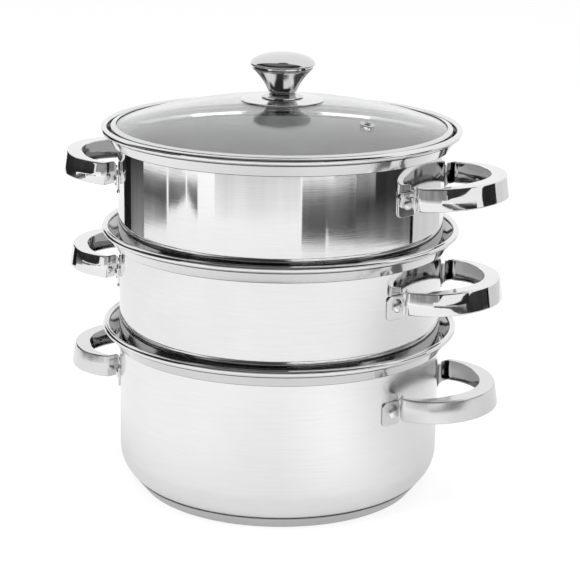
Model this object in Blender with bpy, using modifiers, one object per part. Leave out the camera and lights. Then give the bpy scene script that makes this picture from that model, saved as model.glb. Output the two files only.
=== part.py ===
"""Steel momo steamer: a pot, two perforated steamer tiers that nest in the
stepped rims below them, and a domed glass lid with a steel knob.

Metres, +Z up. The origin is the centre of the underside of the pot's base, and
the pot's two handles lie along X.
"""
import math

import bmesh
import bpy
from mathutils import Matrix, Vector

# Fits that several pieces share.
GAP = 0.0003               # left between pieces that touch
OVERRUN = 0.004            # how far a cutter runs past what it cuts
RING_SEGMENTS = 32
SHARP_ANGLE = math.radians(35)

# Vessels: the pot and both tiers are drawn from the same sheet on the same tools.
# The rim's radius leads: walls, base, floors, handles and lid all follow it.
RIM_RADIUS = 0.145         # outermost edge of the bead
SHEET = 0.0008
POT_RIM_HEIGHT = 0.136     # table to the centre of the pot's rim bead
TIER_PITCH = 0.081         # from one rim bead to the next
BEAD_RADIUS = 0.0027       # of the bead's round section
BEAD_SEGMENTS = 6
RIM_OVERHANG = 0.0134      # outside of the straight wall to the bead's outer edge
LEDGE_DEPTH = 0.0126       # bead centre to the underside of the ledge
LEDGE_WIDTH = 0.0036       # straight wall to the foot of the collar
COLLAR_FOOT_ROUNDING = 0.0012
COLLAR_MEETS_BEAD = math.radians(-100)
LEDGE_ROUNDING = 0.0003

# Pot body and its pressed-on base.
BODY_BOTTOM = 0.0047       # underside of the body above the table
BODY_CORNER = 0.028
CORNER_SEGMENTS = 6        # round the lower corner
CAP_FLOOR_INSET = 0.0181   # straight wall to where the flat underside ends
CAP_SEAM = math.radians(-53.5)   # where on the body's corner the cap ends
CAP_ROUNDING = 0.002
CORE_CORNER_SEGMENTS = 2   # of the body corner that the core follows

# Tier bottom: a shoulder that rests on the ledge below, and a neck inside it.
SHOULDER_ROUNDING = 0.0008
NECK_INSET = 0.0027        # straight wall to the neck
NECK_LENGTH = 0.014
NECK_ROUNDING = 0.0002
FLOOR_CORNER = 0.004
FLOOR_CORNER_SEGMENTS = 2
STEAM_HOLE_RADIUS = 0.004
STEAM_HOLE_SEGMENTS = 6
HOLE_MARGIN = 0.0404       # neck to the outermost ring of holes
HOLE_RINGS = 3
HOLES_IN_FIRST_RING = 6

# Turn of each vessel about +Z, as it was stacked.
LOWER_TURN = math.radians(0.65)
UPPER_TURN = math.radians(4.5)

# Loop handles: one strap, a channel round the grip and a flat tab at each end.
STRAP = 0.0012
STRAP_HEIGHT = 0.018
STRAP_EDGE = 0.0011        # rounding of the channel's outer edges
POT_HANDLE_DROP = 0.0320   # rim bead to the strap's top edge, at the wall
LOWER_HANDLE_DROP = 0.0272
UPPER_HANDLE_DROP = 0.0285
POT_HANDLE_TILT = math.radians(-0.5)     # rise of each pair towards its tips
LOWER_HANDLE_TILT = math.radians(1.2)
UPPER_HANDLE_TILT = math.radians(3)
LOOP_LENGTH = 0.052        # straight wall to the top edge at the tip
LOOP_STANDOFF = 0.0034     # straight wall to where the rounded end begins
LOOP_HALF_WIDTH = 0.058
LOOP_EXPONENT = 1.9
LOOP_SEGMENTS = 6          # in each half of the rounded end
ARM_SEGMENTS = 2
ARM_ANGLE = math.radians(66)
ARM_TIGHTNESS = 4.0        # how sharply the arm turns into the loop's side
BEND_HALF_WIDTH = 0.0494   # handle's middle to where the strap leaves the wall
BEND_RADIUS = 0.001
BEND_SEGMENTS = 2
DRAFT = 0.0028             # how far the strap's lower edge stands out
TOP_FLANGE = 0.011
BOTTOM_FLANGE = 0.008
TAB_LENGTH = 0.0173
TAB_HEIGHT = 0.019
TAB_DROP = 0.004           # strap's top edge to the tab's
TAB_CORNER = 0.004

# Rivets, one through each tab and the wall.
RIVET_FROM_BEND = 0.007
RIVET_SHANK_RADIUS = 0.0024
RIVET_HEAD_RADIUS = 0.0042
RIVET_HEAD_HEIGHT = 0.0022
RIVET_TAIL_RADIUS = 0.004
RIVET_TAIL_HEIGHT = 0.0012
RIVET_SEGMENTS = 8

# Lid: glass dome in a steel band. Heights are from the foot of the band.
LID_PLAY = 0.0004          # band's foot to the collar round it
BAND_FLARE = 0.002         # band's foot to the edge of the glass
GLASS_THICKNESS = 0.004
GLASS_RISE = 0.022         # apex above the edge of the outer surface
GLASS_EDGE_HEIGHT = 0.0125
GLASS_ARC_SEGMENTS = 4
BAND_SHEET = 0.0007
BAND_LIP = 0.0043
BAND_UNDER_LIP = 0.004
BAND_ROUNDING = 0.0009

# Steam vent in the glass.
VENT_PLACE_SHARE = 0.669   # of the glass's radius
VENT_TURN = math.radians(-21)    # about +Z from the pot's right handle
VENT_BORE_RADIUS = 0.002
VENT_BARREL_RADIUS = 0.0037
VENT_FLANGE_RADIUS = 0.0058
VENT_FLANGE = 0.001
VENT_ROLL_RADIUS = 0.0052
VENT_SEGMENTS = 10

# Knob: plate, foot, cone and cap on the lid's axis, held by a screw from below.
KNOB_SEGMENTS = 18
PLATE_RADIUS = 0.0332
PLATE_SHEET = 0.0008
FOOT_RADIUS = 0.0172
FOOT_EDGE = 0.0011
FOOT_NECK_RADIUS = 0.0105
FOOT_HEIGHT = 0.0034
FOOT_SEGMENTS = 3
CONE_FOOT_RADIUS = 0.0116
CONE_TOP_RADIUS = 0.0242
CONE_HEIGHT = 0.0198
CONE_HOLLOW = 0.0012       # how far the cone's side curves in
CONE_SEGMENTS = 4
CAP_RADIUS = 0.026
CAP_SKIRT = 0.0026         # underside of the cap to its widest line
CAP_DOME = 0.0092          # widest line to the top
CAP_DOME_SEGMENTS = 4
SCREW_RADIUS = 0.0025
SCREW_GRIP = 0.010         # length in the cone
SCREW_HEAD_RADIUS = 0.005
SCREW_HEAD_HEIGHT = 0.0025
SCREW_SEGMENTS = 10
WASHER_RADIUS = 0.009
WASHER_THICKNESS = 0.0012

# Derived heights and radii.
WALL_RADIUS = RIM_RADIUS - RIM_OVERHANG
BEAD_CENTRE = RIM_RADIUS - BEAD_RADIUS
COLLAR_FOOT_RADIUS = WALL_RADIUS + LEDGE_WIDTH
CAP_FLOOR_RADIUS = WALL_RADIUS - CAP_FLOOR_INSET
NECK_RADIUS = WALL_RADIUS - NECK_INSET
HOLE_RING_PITCH = (NECK_RADIUS - HOLE_MARGIN) / HOLE_RINGS
LOOP_REACH = WALL_RADIUS + LOOP_LENGTH
LOOP_START = WALL_RADIUS + LOOP_STANDOFF
BAND_FOOT_RADIUS = COLLAR_FOOT_RADIUS - SHEET - LID_PLAY
GLASS_RADIUS = BAND_FOOT_RADIUS + BAND_FLARE
VENT_FROM_AXIS = VENT_PLACE_SHARE * GLASS_RADIUS
LEDGE_TOP = SHEET - LEDGE_DEPTH             # from the bead's centre
SEAT = LEDGE_TOP + GAP                      # what rests on the ledge, likewise
LOWER_RIM_HEIGHT = POT_RIM_HEIGHT + TIER_PITCH
UPPER_RIM_HEIGHT = LOWER_RIM_HEIGHT + TIER_PITCH
LID_HEIGHT = UPPER_RIM_HEIGHT + SEAT
TAB_FACE = WALL_RADIUS + GAP + STRAP        # outer face of a tab
BEND_ANGLE = math.asin(BEND_HALF_WIDTH / TAB_FACE)
RIVET_ANGLE = BEND_ANGLE + RIVET_FROM_BEND / TAB_FACE
RIVET_DROP = TAB_DROP + TAB_HEIGHT / 2      # strap's top edge to the rivet
FACET_SAG = WALL_RADIUS * (1 - math.cos(math.pi / RING_SEGMENTS))
SCREW_BORE = SCREW_RADIUS + GAP
DOME_RADIUS = (GLASS_RADIUS ** 2 + GLASS_RISE ** 2) / (2 * GLASS_RISE)
GLASS_TOP = GLASS_EDGE_HEIGHT + GLASS_RISE
DOME_CENTRE = GLASS_TOP - DOME_RADIUS
PLATE_TOP = GLASS_TOP + GAP + PLATE_SHEET
FOOT_TOP = PLATE_TOP + GAP + FOOT_HEIGHT
CONE_TOP = FOOT_TOP + GAP + CONE_HEIGHT


def new_collection(name):
    collection = bpy.data.collections.new(name)
    bpy.context.scene.collection.children.link(collection)
    return collection


def new_object(name, mesh, collection, parent=None, material=None):
    obj = bpy.data.objects.new(name, mesh)
    collection.objects.link(obj)
    obj.parent = parent
    if material and not mesh.materials:
        mesh.materials.append(material)
    return obj


def new_axis(name, height, turn, collection, parent=None):
    """Empty on the steamer's axis, that one vessel or the lid hangs on."""
    axis = bpy.data.objects.new(name, None)
    collection.objects.link(axis)
    axis.location.z = height
    axis.rotation_euler.z = turn
    axis.parent = parent
    return axis


def steel(name, grey, roughness):
    return surface(name, (grey, grey, grey), roughness, 1.0)


def surface(name, colour, roughness, metallic):
    material = bpy.data.materials.new(name)
    material.use_nodes = True
    shader = material.node_tree.nodes["Principled BSDF"]
    shader.inputs["Base Color"].default_value = (*colour, 1.0)
    shader.inputs["Roughness"].default_value = roughness
    shader.inputs["Metallic"].default_value = metallic
    return material


def glass(name):
    material = surface(name, (0.93, 0.96, 0.95), 0.03, 0.0)
    shader = material.node_tree.nodes["Principled BSDF"]
    shader.inputs["Transmission Weight"].default_value = 1.0
    shader.inputs["IOR"].default_value = 1.5
    return material


def smooth(mesh):
    mesh.shade_smooth()
    mesh.set_sharp_from_angle(angle=SHARP_ANGLE)


def evaluated_mesh(obj, name):
    """The object's mesh with its modifiers applied."""
    graph = bpy.context.evaluated_depsgraph_get()
    mesh = bpy.data.meshes.new_from_object(obj.evaluated_get(graph), depsgraph=graph)
    mesh.name = name
    return mesh


def turned_mesh(name, section, segments, closed=False):
    """Turn a section about Z: it runs outward on top and down its outer side."""
    mesh = bpy.data.meshes.new(name + "_section")
    edges = [(i, i + 1) for i in range(len(section) - 1)]
    if closed:
        edges.append((len(section) - 1, 0))
    mesh.from_pydata([(r, 0.0, z) for r, z in section], edges, [])
    obj = bpy.data.objects.new(name + "_section", mesh)
    bpy.context.scene.collection.objects.link(obj)
    screw = obj.modifiers.new("Turn", "SCREW")
    screw.axis = "Z"
    screw.steps = segments
    screw.render_steps = segments
    screw.use_merge_vertices = True
    screw.merge_threshold = 0.00002
    turned = evaluated_mesh(obj, name)
    bpy.data.objects.remove(obj)
    bpy.data.meshes.remove(mesh)
    smooth(turned)
    return turned


def cut(mesh, name, cutters):
    """Cut the mesh with each cutter in turn and return the new mesh."""
    obj = bpy.data.objects.new(name + "_uncut", mesh)
    bpy.context.scene.collection.objects.link(obj)
    for cutter in cutters:
        boolean = obj.modifiers.new(cutter.name, "BOOLEAN")
        boolean.operation = "DIFFERENCE"
        boolean.solver = "EXACT"
        boolean.object = cutter
    result = evaluated_mesh(obj, name)
    bpy.data.objects.remove(obj)
    bpy.data.meshes.remove(mesh)
    smooth(result)
    return result


def rods_cutter(name, rods, radius, length, segments, collection):
    """One cutter of equal rods, each placed by its own matrix."""
    bm = bmesh.new()
    for matrix in rods:
        bmesh.ops.create_cone(bm, cap_ends=True, segments=segments, radius1=radius,
                              radius2=radius, depth=length, matrix=matrix)
    mesh = bpy.data.meshes.new(name)
    bm.to_mesh(mesh)
    bm.free()
    cutter = new_object(name, mesh, collection)
    cutter.display_type = "WIRE"
    cutter.hide_render = True
    return cutter


def turn_of(before, at, after):
    """Positive where a line turns left, negative where it turns right."""
    first = at - before
    second = after - at
    return first.x * second.y - first.y * second.x


def right_normal(start, end):
    along = (end - start).normalized()
    return Vector((along.y, -along.x))


def round_corners(corners):
    """Points of an open line of (r, z, rounding, segments) corners."""
    points = [Vector(corners[0][:2])]
    for before, corner, after in zip(corners, corners[1:], corners[2:]):
        at = Vector(corner[:2])
        rounding, segments = corner[2:]
        if rounding <= 0:
            points.append(at)
            continue
        back = (Vector(before[:2]) - at).normalized()
        ahead = (Vector(after[:2]) - at).normalized()
        half = back.angle(ahead) / 2
        centre = at + (back + ahead).normalized() * rounding / math.sin(half)
        start = at + back * rounding / math.tan(half) - centre
        end = at + ahead * rounding / math.tan(half) - centre
        sweep = math.atan2(start.x * end.y - start.y * end.x, start.dot(end))
        for i in range(segments + 1):
            points.append(centre + Matrix.Rotation(sweep * i / segments, 2) @ start)
    points.append(Vector(corners[-1][:2]))
    return points


def inner_corners(corners, thickness):
    """The same line on the other face of the sheet, to its right."""
    spots = [Vector(corner[:2]) for corner in corners]
    shifted = [(*(spots[0] + right_normal(spots[0], spots[1]) * thickness), 0, 1)]
    for before, at, after, corner in zip(spots, spots[1:], spots[2:], corners[1:]):
        first = right_normal(before, at)
        second = right_normal(at, after)
        mitre = (first + second) / (1 + first.dot(second))
        side = thickness if turn_of(before, at, after) > 0 else -thickness
        shifted.append((*(at + mitre * thickness), corner[2] + side, corner[3]))
    shifted.append((*(spots[-1] + right_normal(spots[-2], spots[-1]) * thickness), 0, 1))
    return shifted


def rim_corners():
    """Outer face of the rim, from under the bead to the top of the wall."""
    start = (BEAD_CENTRE + BEAD_RADIUS * math.cos(COLLAR_MEETS_BEAD),
             BEAD_RADIUS * math.sin(COLLAR_MEETS_BEAD))
    return [(*start, 0, 1),
            (COLLAR_FOOT_RADIUS, -LEDGE_DEPTH, COLLAR_FOOT_ROUNDING, 1),
            (WALL_RADIUS, -LEDGE_DEPTH, LEDGE_ROUNDING, 1)]


def vessel_section(corners):
    """Section of a vessel from the line of its outer face, with a solid bead."""
    outer = round_corners(corners)
    inner = round_corners(inner_corners(corners, SHEET))
    bead = Vector((BEAD_CENTRE, 0))
    down = (inner[1] - inner[0]).normalized()
    reach = inner[0] - bead
    ahead = -reach.dot(down)
    ahead += math.sqrt(ahead ** 2 - reach.length_squared + BEAD_RADIUS ** 2)
    inner[0] = inner[0] + down * ahead
    start = math.atan2(inner[0].y - bead.y, inner[0].x - bead.x) % math.tau
    steps = [i / BEAD_SEGMENTS for i in range(1, BEAD_SEGMENTS)]
    angles = [start + (COLLAR_MEETS_BEAD - start) * step for step in steps]
    roll = [bead + BEAD_RADIUS * Vector((math.cos(a), math.sin(a))) for a in angles]
    return inner[::-1] + roll + outer


def rivet_places():
    """Direction of each rivet round a vessel, by the name of its place."""
    return {"right_front": -RIVET_ANGLE, "right_back": RIVET_ANGLE,
            "left_front": math.pi + RIVET_ANGLE, "left_back": math.pi - RIVET_ANGLE}


def rivet_hole_cutter(name, handle_drop, collection):
    rods = []
    for angle in rivet_places().values():
        out = Matrix.Rotation(angle, 4, "Z") @ Matrix.Translation((WALL_RADIUS, 0, 0))
        lay = Matrix.Rotation(math.pi / 2, 4, "Y")
        drop = Matrix.Translation((0, 0, -handle_drop - RIVET_DROP))
        rods.append(drop @ out @ lay)
    return rods_cutter(name, rods, RIVET_SHANK_RADIUS + GAP, 4 * OVERRUN,
                       RIVET_SEGMENTS, collection)


def pot_shell_mesh(name, cutters):
    bottom = BODY_BOTTOM - POT_RIM_HEIGHT
    corners = rim_corners() + [(WALL_RADIUS, bottom, BODY_CORNER, CORNER_SEGMENTS),
                               (0, bottom, 0, 1)]
    mesh = turned_mesh(name, vessel_section(corners), RING_SEGMENTS)
    return cut(mesh, name, cutters)


def tier_shell_mesh(name, cutters):
    shoulder = SEAT - TIER_PITCH
    floor = shoulder - NECK_LENGTH
    corners = rim_corners() + [
        (WALL_RADIUS, shoulder, SHOULDER_ROUNDING, 1),
        (NECK_RADIUS, shoulder, NECK_ROUNDING, 1),
        (NECK_RADIUS, floor, FLOOR_CORNER, FLOOR_CORNER_SEGMENTS),
        (0, floor, 0, 1)]
    mesh = turned_mesh(name, vessel_section(corners), RING_SEGMENTS)
    return cut(mesh, name, cutters)


def steam_hole_cutter(name, collection):
    """Holes in rings: six round the middle one, and six more in each next ring."""
    floor = SEAT - TIER_PITCH - NECK_LENGTH + SHEET / 2
    rods = [Matrix.Translation((0, 0, floor))]
    for ring in range(1, HOLE_RINGS + 1):
        count = HOLES_IN_FIRST_RING * ring
        out = Matrix.Translation((HOLE_RING_PITCH * ring, 0, floor))
        rods += [Matrix.Rotation(math.tau * i / count, 4, "Z") @ out for i in range(count)]
    return rods_cutter(name, rods, STEAM_HOLE_RADIUS, 2 * OVERRUN,
                       STEAM_HOLE_SEGMENTS, collection)


def on_body_corner(angle, outward):
    """Point of the section this far outside the body's lower corner."""
    centre = Vector((WALL_RADIUS - BODY_CORNER, BODY_BOTTOM + BODY_CORNER))
    return centre + (BODY_CORNER + outward) * facing(angle)


def base_cap_mesh(name):
    """Steel cup pressed over the core, up to the seam on the body's corner."""
    edge = on_body_corner(CAP_SEAM, GAP + SHEET)
    corners = [(*edge, 0, 1),
               (CAP_FLOOR_RADIUS, 0, CAP_ROUNDING, 1),
               (0, 0, 0, 1)]
    inner = round_corners(inner_corners(corners, SHEET))
    section = inner[::-1] + round_corners(corners)
    return turned_mesh(name, section, RING_SEGMENTS)


def base_core_mesh(name):
    """Aluminium disc between the body and the cap, following both."""
    step = math.pi / 2 / CORNER_SEGMENTS
    section = [Vector((0, BODY_BOTTOM - GAP))]
    for i in range(CORE_CORNER_SEGMENTS + 1):
        section.append(on_body_corner(step * i - math.pi / 2, GAP))
    inside = GAP + SHEET
    section.append(Vector((CAP_FLOOR_RADIUS - inside, inside)))
    section.append(Vector((0, inside)))
    return turned_mesh(name, section, RING_SEGMENTS)


def strap_stations():
    """Stations along half the handle's strap, from the tab's end to the tip.

    Each has its place on the strap's outer face, the face's direction in plan,
    the drop of its top edge, its height, and how far the channel has formed.
    """
    stations = []
    end_angle = BEND_ANGLE + TAB_LENGTH / TAB_FACE
    for i in range(3):
        corner = math.pi / 4 * i
        inset = TAB_CORNER * (1 - math.sin(corner))
        angle = end_angle - TAB_CORNER * (1 - math.cos(corner)) / TAB_FACE
        stations.append((angle, TAB_DROP + inset, TAB_HEIGHT - 2 * inset))
    stations = [(TAB_FACE * facing(angle), facing(angle), drop, height, 0.0)
                for angle, drop, height in stations]
    centre = (TAB_FACE + BEND_RADIUS) * facing(BEND_ANGLE)
    arm_facing = ARM_ANGLE + math.pi / 2
    for i in range(BEND_SEGMENTS + 1):
        done = i / BEND_SEGMENTS
        face = facing(BEND_ANGLE + (arm_facing - BEND_ANGLE) * done)
        drop = TAB_DROP * (1 - done)
        height = TAB_HEIGHT + (STRAP_HEIGHT - TAB_HEIGHT) * done
        stations.append((centre - BEND_RADIUS * face, face, drop, height, 0.0))
    line = arm_and_loop(stations[-1][0])
    for i, point in enumerate(line):
        ahead = line[i + 1] if i + 1 < len(line) else Vector((point.x, -line[i - 1].y))
        back = line[i - 1] if i else stations[-1][0]
        formed = min(1.0, (i + 1) / (ARM_SEGMENTS + LOOP_SEGMENTS / 2))
        if i + 1 == len(line):
            ahead = Vector((back.x, -back.y))
        face = -right_normal(back, ahead)
        stations.append((point, face, 0.0, STRAP_HEIGHT, formed))
    return stations


def arm_and_loop(start):
    """Points after the bend: a curved arm, then a quarter of the rounded end."""
    end = Vector((LOOP_START, LOOP_HALF_WIDTH))
    along = (LOOP_HALF_WIDTH - start.y) / math.tan(ARM_ANGLE)
    middle = Vector((start.x + along, LOOP_HALF_WIDTH))
    points = []
    for i in range(1, ARM_SEGMENTS + 1):
        t = i / ARM_SEGMENTS
        pull = 2 * t * (1 - t) * ARM_TIGHTNESS
        total = (1 - t) ** 2 + pull + t ** 2
        points.append(((1 - t) ** 2 * start + pull * middle + t ** 2 * end) / total)
    for i in range(1, LOOP_SEGMENTS + 1):
        angle = math.pi / 2 * (1 - i / LOOP_SEGMENTS)
        across = math.sin(angle) ** (2 / LOOP_EXPONENT)
        out = abs(math.cos(angle)) ** (2 / LOOP_EXPONENT)
        points.append(Vector((LOOP_START + (LOOP_REACH - LOOP_START) * out,
                              LOOP_HALF_WIDTH * across)))
    return points


def facing(angle):
    return Vector((math.cos(angle), math.sin(angle)))


def strap_ring(tilt, point, face, drop, height, formed):
    """Section of the strap at a station, as a channel as far as it has formed."""
    lean = DRAFT * formed
    edge = STRAP_EDGE * min(1.0, 2 * formed)
    top = TOP_FLANGE * formed
    bottom = BOTTOM_FLANGE * formed
    flat = [(0, -edge), (-edge, 0), (-STRAP - top, 0), (-STRAP - top, -STRAP),
            (-STRAP, -STRAP), (-STRAP, STRAP - height), (-STRAP - bottom, STRAP - height),
            (-STRAP - bottom, -height), (-edge, -height), (0, edge - height)]
    ring = []
    for out, up in flat:
        spot = point + face * (out - lean * up / height)
        climb = math.tan(tilt) * (spot.x - LOOP_START) * min(1.0, 2 * formed)
        ring.append(Vector((spot.x, spot.y, up - drop + climb)))
    return ring


def handle_mesh(name, tilt, cutters):
    """Loft the strap through its stations and their mirror images."""
    rings = [strap_ring(tilt, *station) for station in strap_stations()]
    mirrored = [[Vector((v.x, -v.y, v.z)) for v in ring] for ring in rings[:-1]]
    rings += mirrored[::-1]
    bm = bmesh.new()
    loops = [[bm.verts.new(v) for v in ring] for ring in rings]
    for near, far in zip(loops, loops[1:]):
        for i in range(len(near)):
            j = (i + 1) % len(near)
            bm.faces.new((near[i], near[j], far[j], far[i]))
    bm.faces.new(loops[0])
    bm.faces.new(loops[-1][::-1])
    bmesh.ops.remove_doubles(bm, verts=bm.verts, dist=GAP / 100)
    bmesh.ops.recalc_face_normals(bm, faces=bm.faces)
    mesh = bpy.data.meshes.new(name)
    bm.to_mesh(mesh)
    bm.free()
    return cut(mesh, name, cutters)


def rivet_mesh(name):
    """Rivet along its own Z, with zero at the outer face of the vessel's wall."""
    seat = GAP + STRAP + GAP
    tail = -(SHEET + FACET_SAG + GAP)
    section = [(0, seat + RIVET_HEAD_HEIGHT),
               (RIVET_HEAD_RADIUS * math.cos(math.pi / 4),
                seat + RIVET_HEAD_HEIGHT * math.sin(math.pi / 4)),
               (RIVET_HEAD_RADIUS, seat),
               (RIVET_SHANK_RADIUS, seat),
               (RIVET_SHANK_RADIUS, tail),
               (RIVET_TAIL_RADIUS, tail),
               (RIVET_TAIL_RADIUS * math.cos(math.pi / 4),
                tail - RIVET_TAIL_HEIGHT * math.sin(math.pi / 4)),
               (0, tail - RIVET_TAIL_HEIGHT)]
    return turned_mesh(name, section, RIVET_SEGMENTS)


def on_dome(radius_from_axis, depth):
    """Point of the section on the glass, this deep under its outer surface."""
    sphere = DOME_RADIUS - depth
    return Vector((radius_from_axis,
                   DOME_CENTRE + math.sqrt(sphere ** 2 - radius_from_axis ** 2)))


def glass_mesh(name, cutters):
    span = GLASS_RADIUS - SCREW_BORE
    radii = [SCREW_BORE + span * i / GLASS_ARC_SEGMENTS
             for i in range(GLASS_ARC_SEGMENTS + 1)]
    section = [on_dome(r, 0) for r in radii]
    section += [on_dome(r, GLASS_THICKNESS) for r in reversed(radii)]
    mesh = turned_mesh(name, section, RING_SEGMENTS, closed=True)
    return cut(mesh, name, cutters)


def vent_matrix():
    """From the vent's own frame, Z out of the glass, to the lid's frame."""
    spot = on_dome(VENT_FROM_AXIS, 0)
    tilt = math.asin(VENT_FROM_AXIS / DOME_RADIUS)
    turn = Matrix.Rotation(VENT_TURN - UPPER_TURN, 4, "Z")
    return turn @ Matrix.Translation((spot.x, 0, spot.y)) @ Matrix.Rotation(tilt, 4, "Y")


def dome_sag():
    """How far the facets of the dome lie inside it, where the vent is."""
    along = DOME_RADIUS * (1 - math.cos(GLASS_RADIUS / DOME_RADIUS / (2 * GLASS_ARC_SEGMENTS)))
    across = VENT_FROM_AXIS * (1 - math.cos(math.pi / RING_SEGMENTS))
    return along + across * VENT_FROM_AXIS / DOME_RADIUS


def vent_mesh(name):
    under = -(GLASS_THICKNESS + GAP + dome_sag())
    section = [(VENT_BORE_RADIUS, GAP + VENT_FLANGE),
               (VENT_FLANGE_RADIUS - VENT_FLANGE / 2, GAP + VENT_FLANGE),
               (VENT_FLANGE_RADIUS, GAP),
               (VENT_BARREL_RADIUS, GAP),
               (VENT_BARREL_RADIUS, under),
               (VENT_ROLL_RADIUS, under),
               (VENT_ROLL_RADIUS - VENT_FLANGE / 2, under - VENT_FLANGE),
               (VENT_BORE_RADIUS, under - VENT_FLANGE)]
    return turned_mesh(name, section, VENT_SEGMENTS, closed=True)


def band_mesh(name):
    """Band gripping the edge of the glass, with a skirt down to the ledge."""
    inside = GLASS_RADIUS + GAP
    outside = inside + BAND_SHEET
    lip_end = outside - BAND_LIP
    under_end = outside - BAND_UNDER_LIP
    lip_height = on_dome(lip_end, 0).y + GAP
    shelf = on_dome(GLASS_RADIUS, GLASS_THICKNESS).y - GAP
    edge_height = GLASS_EDGE_HEIGHT + GAP
    section = [(lip_end, lip_height + BAND_SHEET),
               (outside - BAND_ROUNDING, edge_height + BAND_SHEET),
               (outside, edge_height + BAND_SHEET - BAND_ROUNDING),
               (outside, shelf - BAND_SHEET),
               (BAND_FOOT_RADIUS, 0),
               (BAND_FOOT_RADIUS - BAND_SHEET, 0),
               (outside - 2 * BAND_SHEET, shelf - BAND_SHEET),
               (under_end, shelf - BAND_SHEET),
               (under_end, shelf),
               (inside, shelf),
               (inside, edge_height),
               (lip_end, lip_height)]
    return turned_mesh(name, section, RING_SEGMENTS, closed=True)


def plate_mesh(name):
    """Thin plate on the glass, flat under the foot and then following the dome."""
    flat = FOOT_RADIUS + GAP
    edge = on_dome(PLATE_RADIUS, 0).y + GAP
    section = [(SCREW_BORE, PLATE_TOP),
               (flat, PLATE_TOP),
               (PLATE_RADIUS, edge + PLATE_SHEET),
               (PLATE_RADIUS, edge),
               (flat, PLATE_TOP - PLATE_SHEET),
               (SCREW_BORE, PLATE_TOP - PLATE_SHEET)]
    return turned_mesh(name, section, KNOB_SEGMENTS, closed=True)


def foot_mesh(name):
    """Flared foot: a low edge, then a hollow curve up to the neck."""
    bottom = FOOT_TOP - FOOT_HEIGHT
    section = [(SCREW_BORE, FOOT_TOP)]
    for i in range(FOOT_SEGMENTS + 1):
        angle = math.pi / 2 * i / FOOT_SEGMENTS
        section.append((FOOT_RADIUS - (FOOT_RADIUS - FOOT_NECK_RADIUS) * math.cos(angle),
                        FOOT_TOP - (FOOT_HEIGHT - FOOT_EDGE) * math.sin(angle)))
    section += [(FOOT_RADIUS, bottom), (SCREW_BORE, bottom)]
    return turned_mesh(name, section, KNOB_SEGMENTS, closed=True)


def cone_mesh(name):
    """Knob's body, wide at the top, with a blind bore for the screw."""
    bottom = CONE_TOP - CONE_HEIGHT
    section = [(0, CONE_TOP)]
    for i in range(CONE_SEGMENTS + 1):
        share = i / CONE_SEGMENTS
        straight = CONE_TOP_RADIUS + (CONE_FOOT_RADIUS - CONE_TOP_RADIUS) * share
        hollow = CONE_HOLLOW * math.sin(math.pi * share)
        section.append((straight - hollow, CONE_TOP - CONE_HEIGHT * share))
    section += [(SCREW_BORE, bottom),
                (SCREW_BORE, bottom + SCREW_GRIP + GAP),
                (0, bottom + SCREW_GRIP + GAP)]
    return turned_mesh(name, section, KNOB_SEGMENTS)


def cap_mesh(name):
    """Domed cap on the cone, widest a little above its underside."""
    bottom = CONE_TOP + GAP
    section = []
    for i in range(CAP_DOME_SEGMENTS + 1):
        angle = math.pi / 2 * i / CAP_DOME_SEGMENTS
        section.append((CAP_RADIUS * math.sin(angle),
                        bottom + CAP_SKIRT + CAP_DOME * math.cos(angle)))
    section += [(CONE_TOP_RADIUS, bottom), (0, bottom)]
    return turned_mesh(name, section, KNOB_SEGMENTS)


def washer_mesh(name):
    top = GLASS_TOP - GLASS_THICKNESS - GAP
    section = [(SCREW_BORE, top), (WASHER_RADIUS, top),
               (WASHER_RADIUS, top - WASHER_THICKNESS),
               (SCREW_BORE, top - WASHER_THICKNESS)]
    return turned_mesh(name, section, SCREW_SEGMENTS, closed=True)


def screw_mesh(name):
    """Screw up through washer, glass, plate and foot into the cone."""
    head_top = GLASS_TOP - GLASS_THICKNESS - GAP - WASHER_THICKNESS - GAP
    end = CONE_TOP - CONE_HEIGHT + SCREW_GRIP
    section = [(0, end), (SCREW_RADIUS, end), (SCREW_RADIUS, head_top),
               (SCREW_HEAD_RADIUS, head_top),
               (SCREW_HEAD_RADIUS * math.cos(math.pi / 4),
                head_top - SCREW_HEAD_HEIGHT * math.sin(math.pi / 4)),
               (0, head_top - SCREW_HEAD_HEIGHT)]
    return turned_mesh(name, section, SCREW_SEGMENTS)


def add_handles(vessel, drop, tilt, axis, shared, collection, materials):
    """Two handles and four rivets on a vessel."""
    loop = handle_mesh(f"{vessel}_handle", tilt, [shared["handle_holes"]])
    for side, turn in (("right", 0.0), ("left", math.pi)):
        handle = new_object(f"{vessel}_handle_{side}", loop, collection, axis,
                            materials["handle"])
        handle.location.z = -drop
        handle.rotation_euler.z = turn
    for place, angle in rivet_places().items():
        rivet = new_object(f"{vessel}_rivet_{place}", shared["rivet"], collection, axis,
                           materials["rivet"])
        rivet.location = (*(WALL_RADIUS * facing(angle)), -drop - RIVET_DROP)
        rivet.rotation_euler = (0, math.pi / 2, angle)


def build_pot(collection, cutters, shared, materials):
    axis = new_axis("pot_axis", POT_RIM_HEIGHT, 0.0, collection)
    holes = rivet_hole_cutter("pot_rivet_holes", POT_HANDLE_DROP, cutters)
    shell = pot_shell_mesh("pot_shell", [holes])
    new_object("pot_shell", shell, collection, axis, materials["pot"])
    new_object("pot_base_cap", base_cap_mesh("pot_base_cap"), collection, None,
               materials["base_cap"])
    new_object("pot_base_core", base_core_mesh("pot_base_core"), collection, None,
               materials["base_core"])
    add_handles("pot", POT_HANDLE_DROP, POT_HANDLE_TILT, axis, shared, collection,
                materials)


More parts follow.
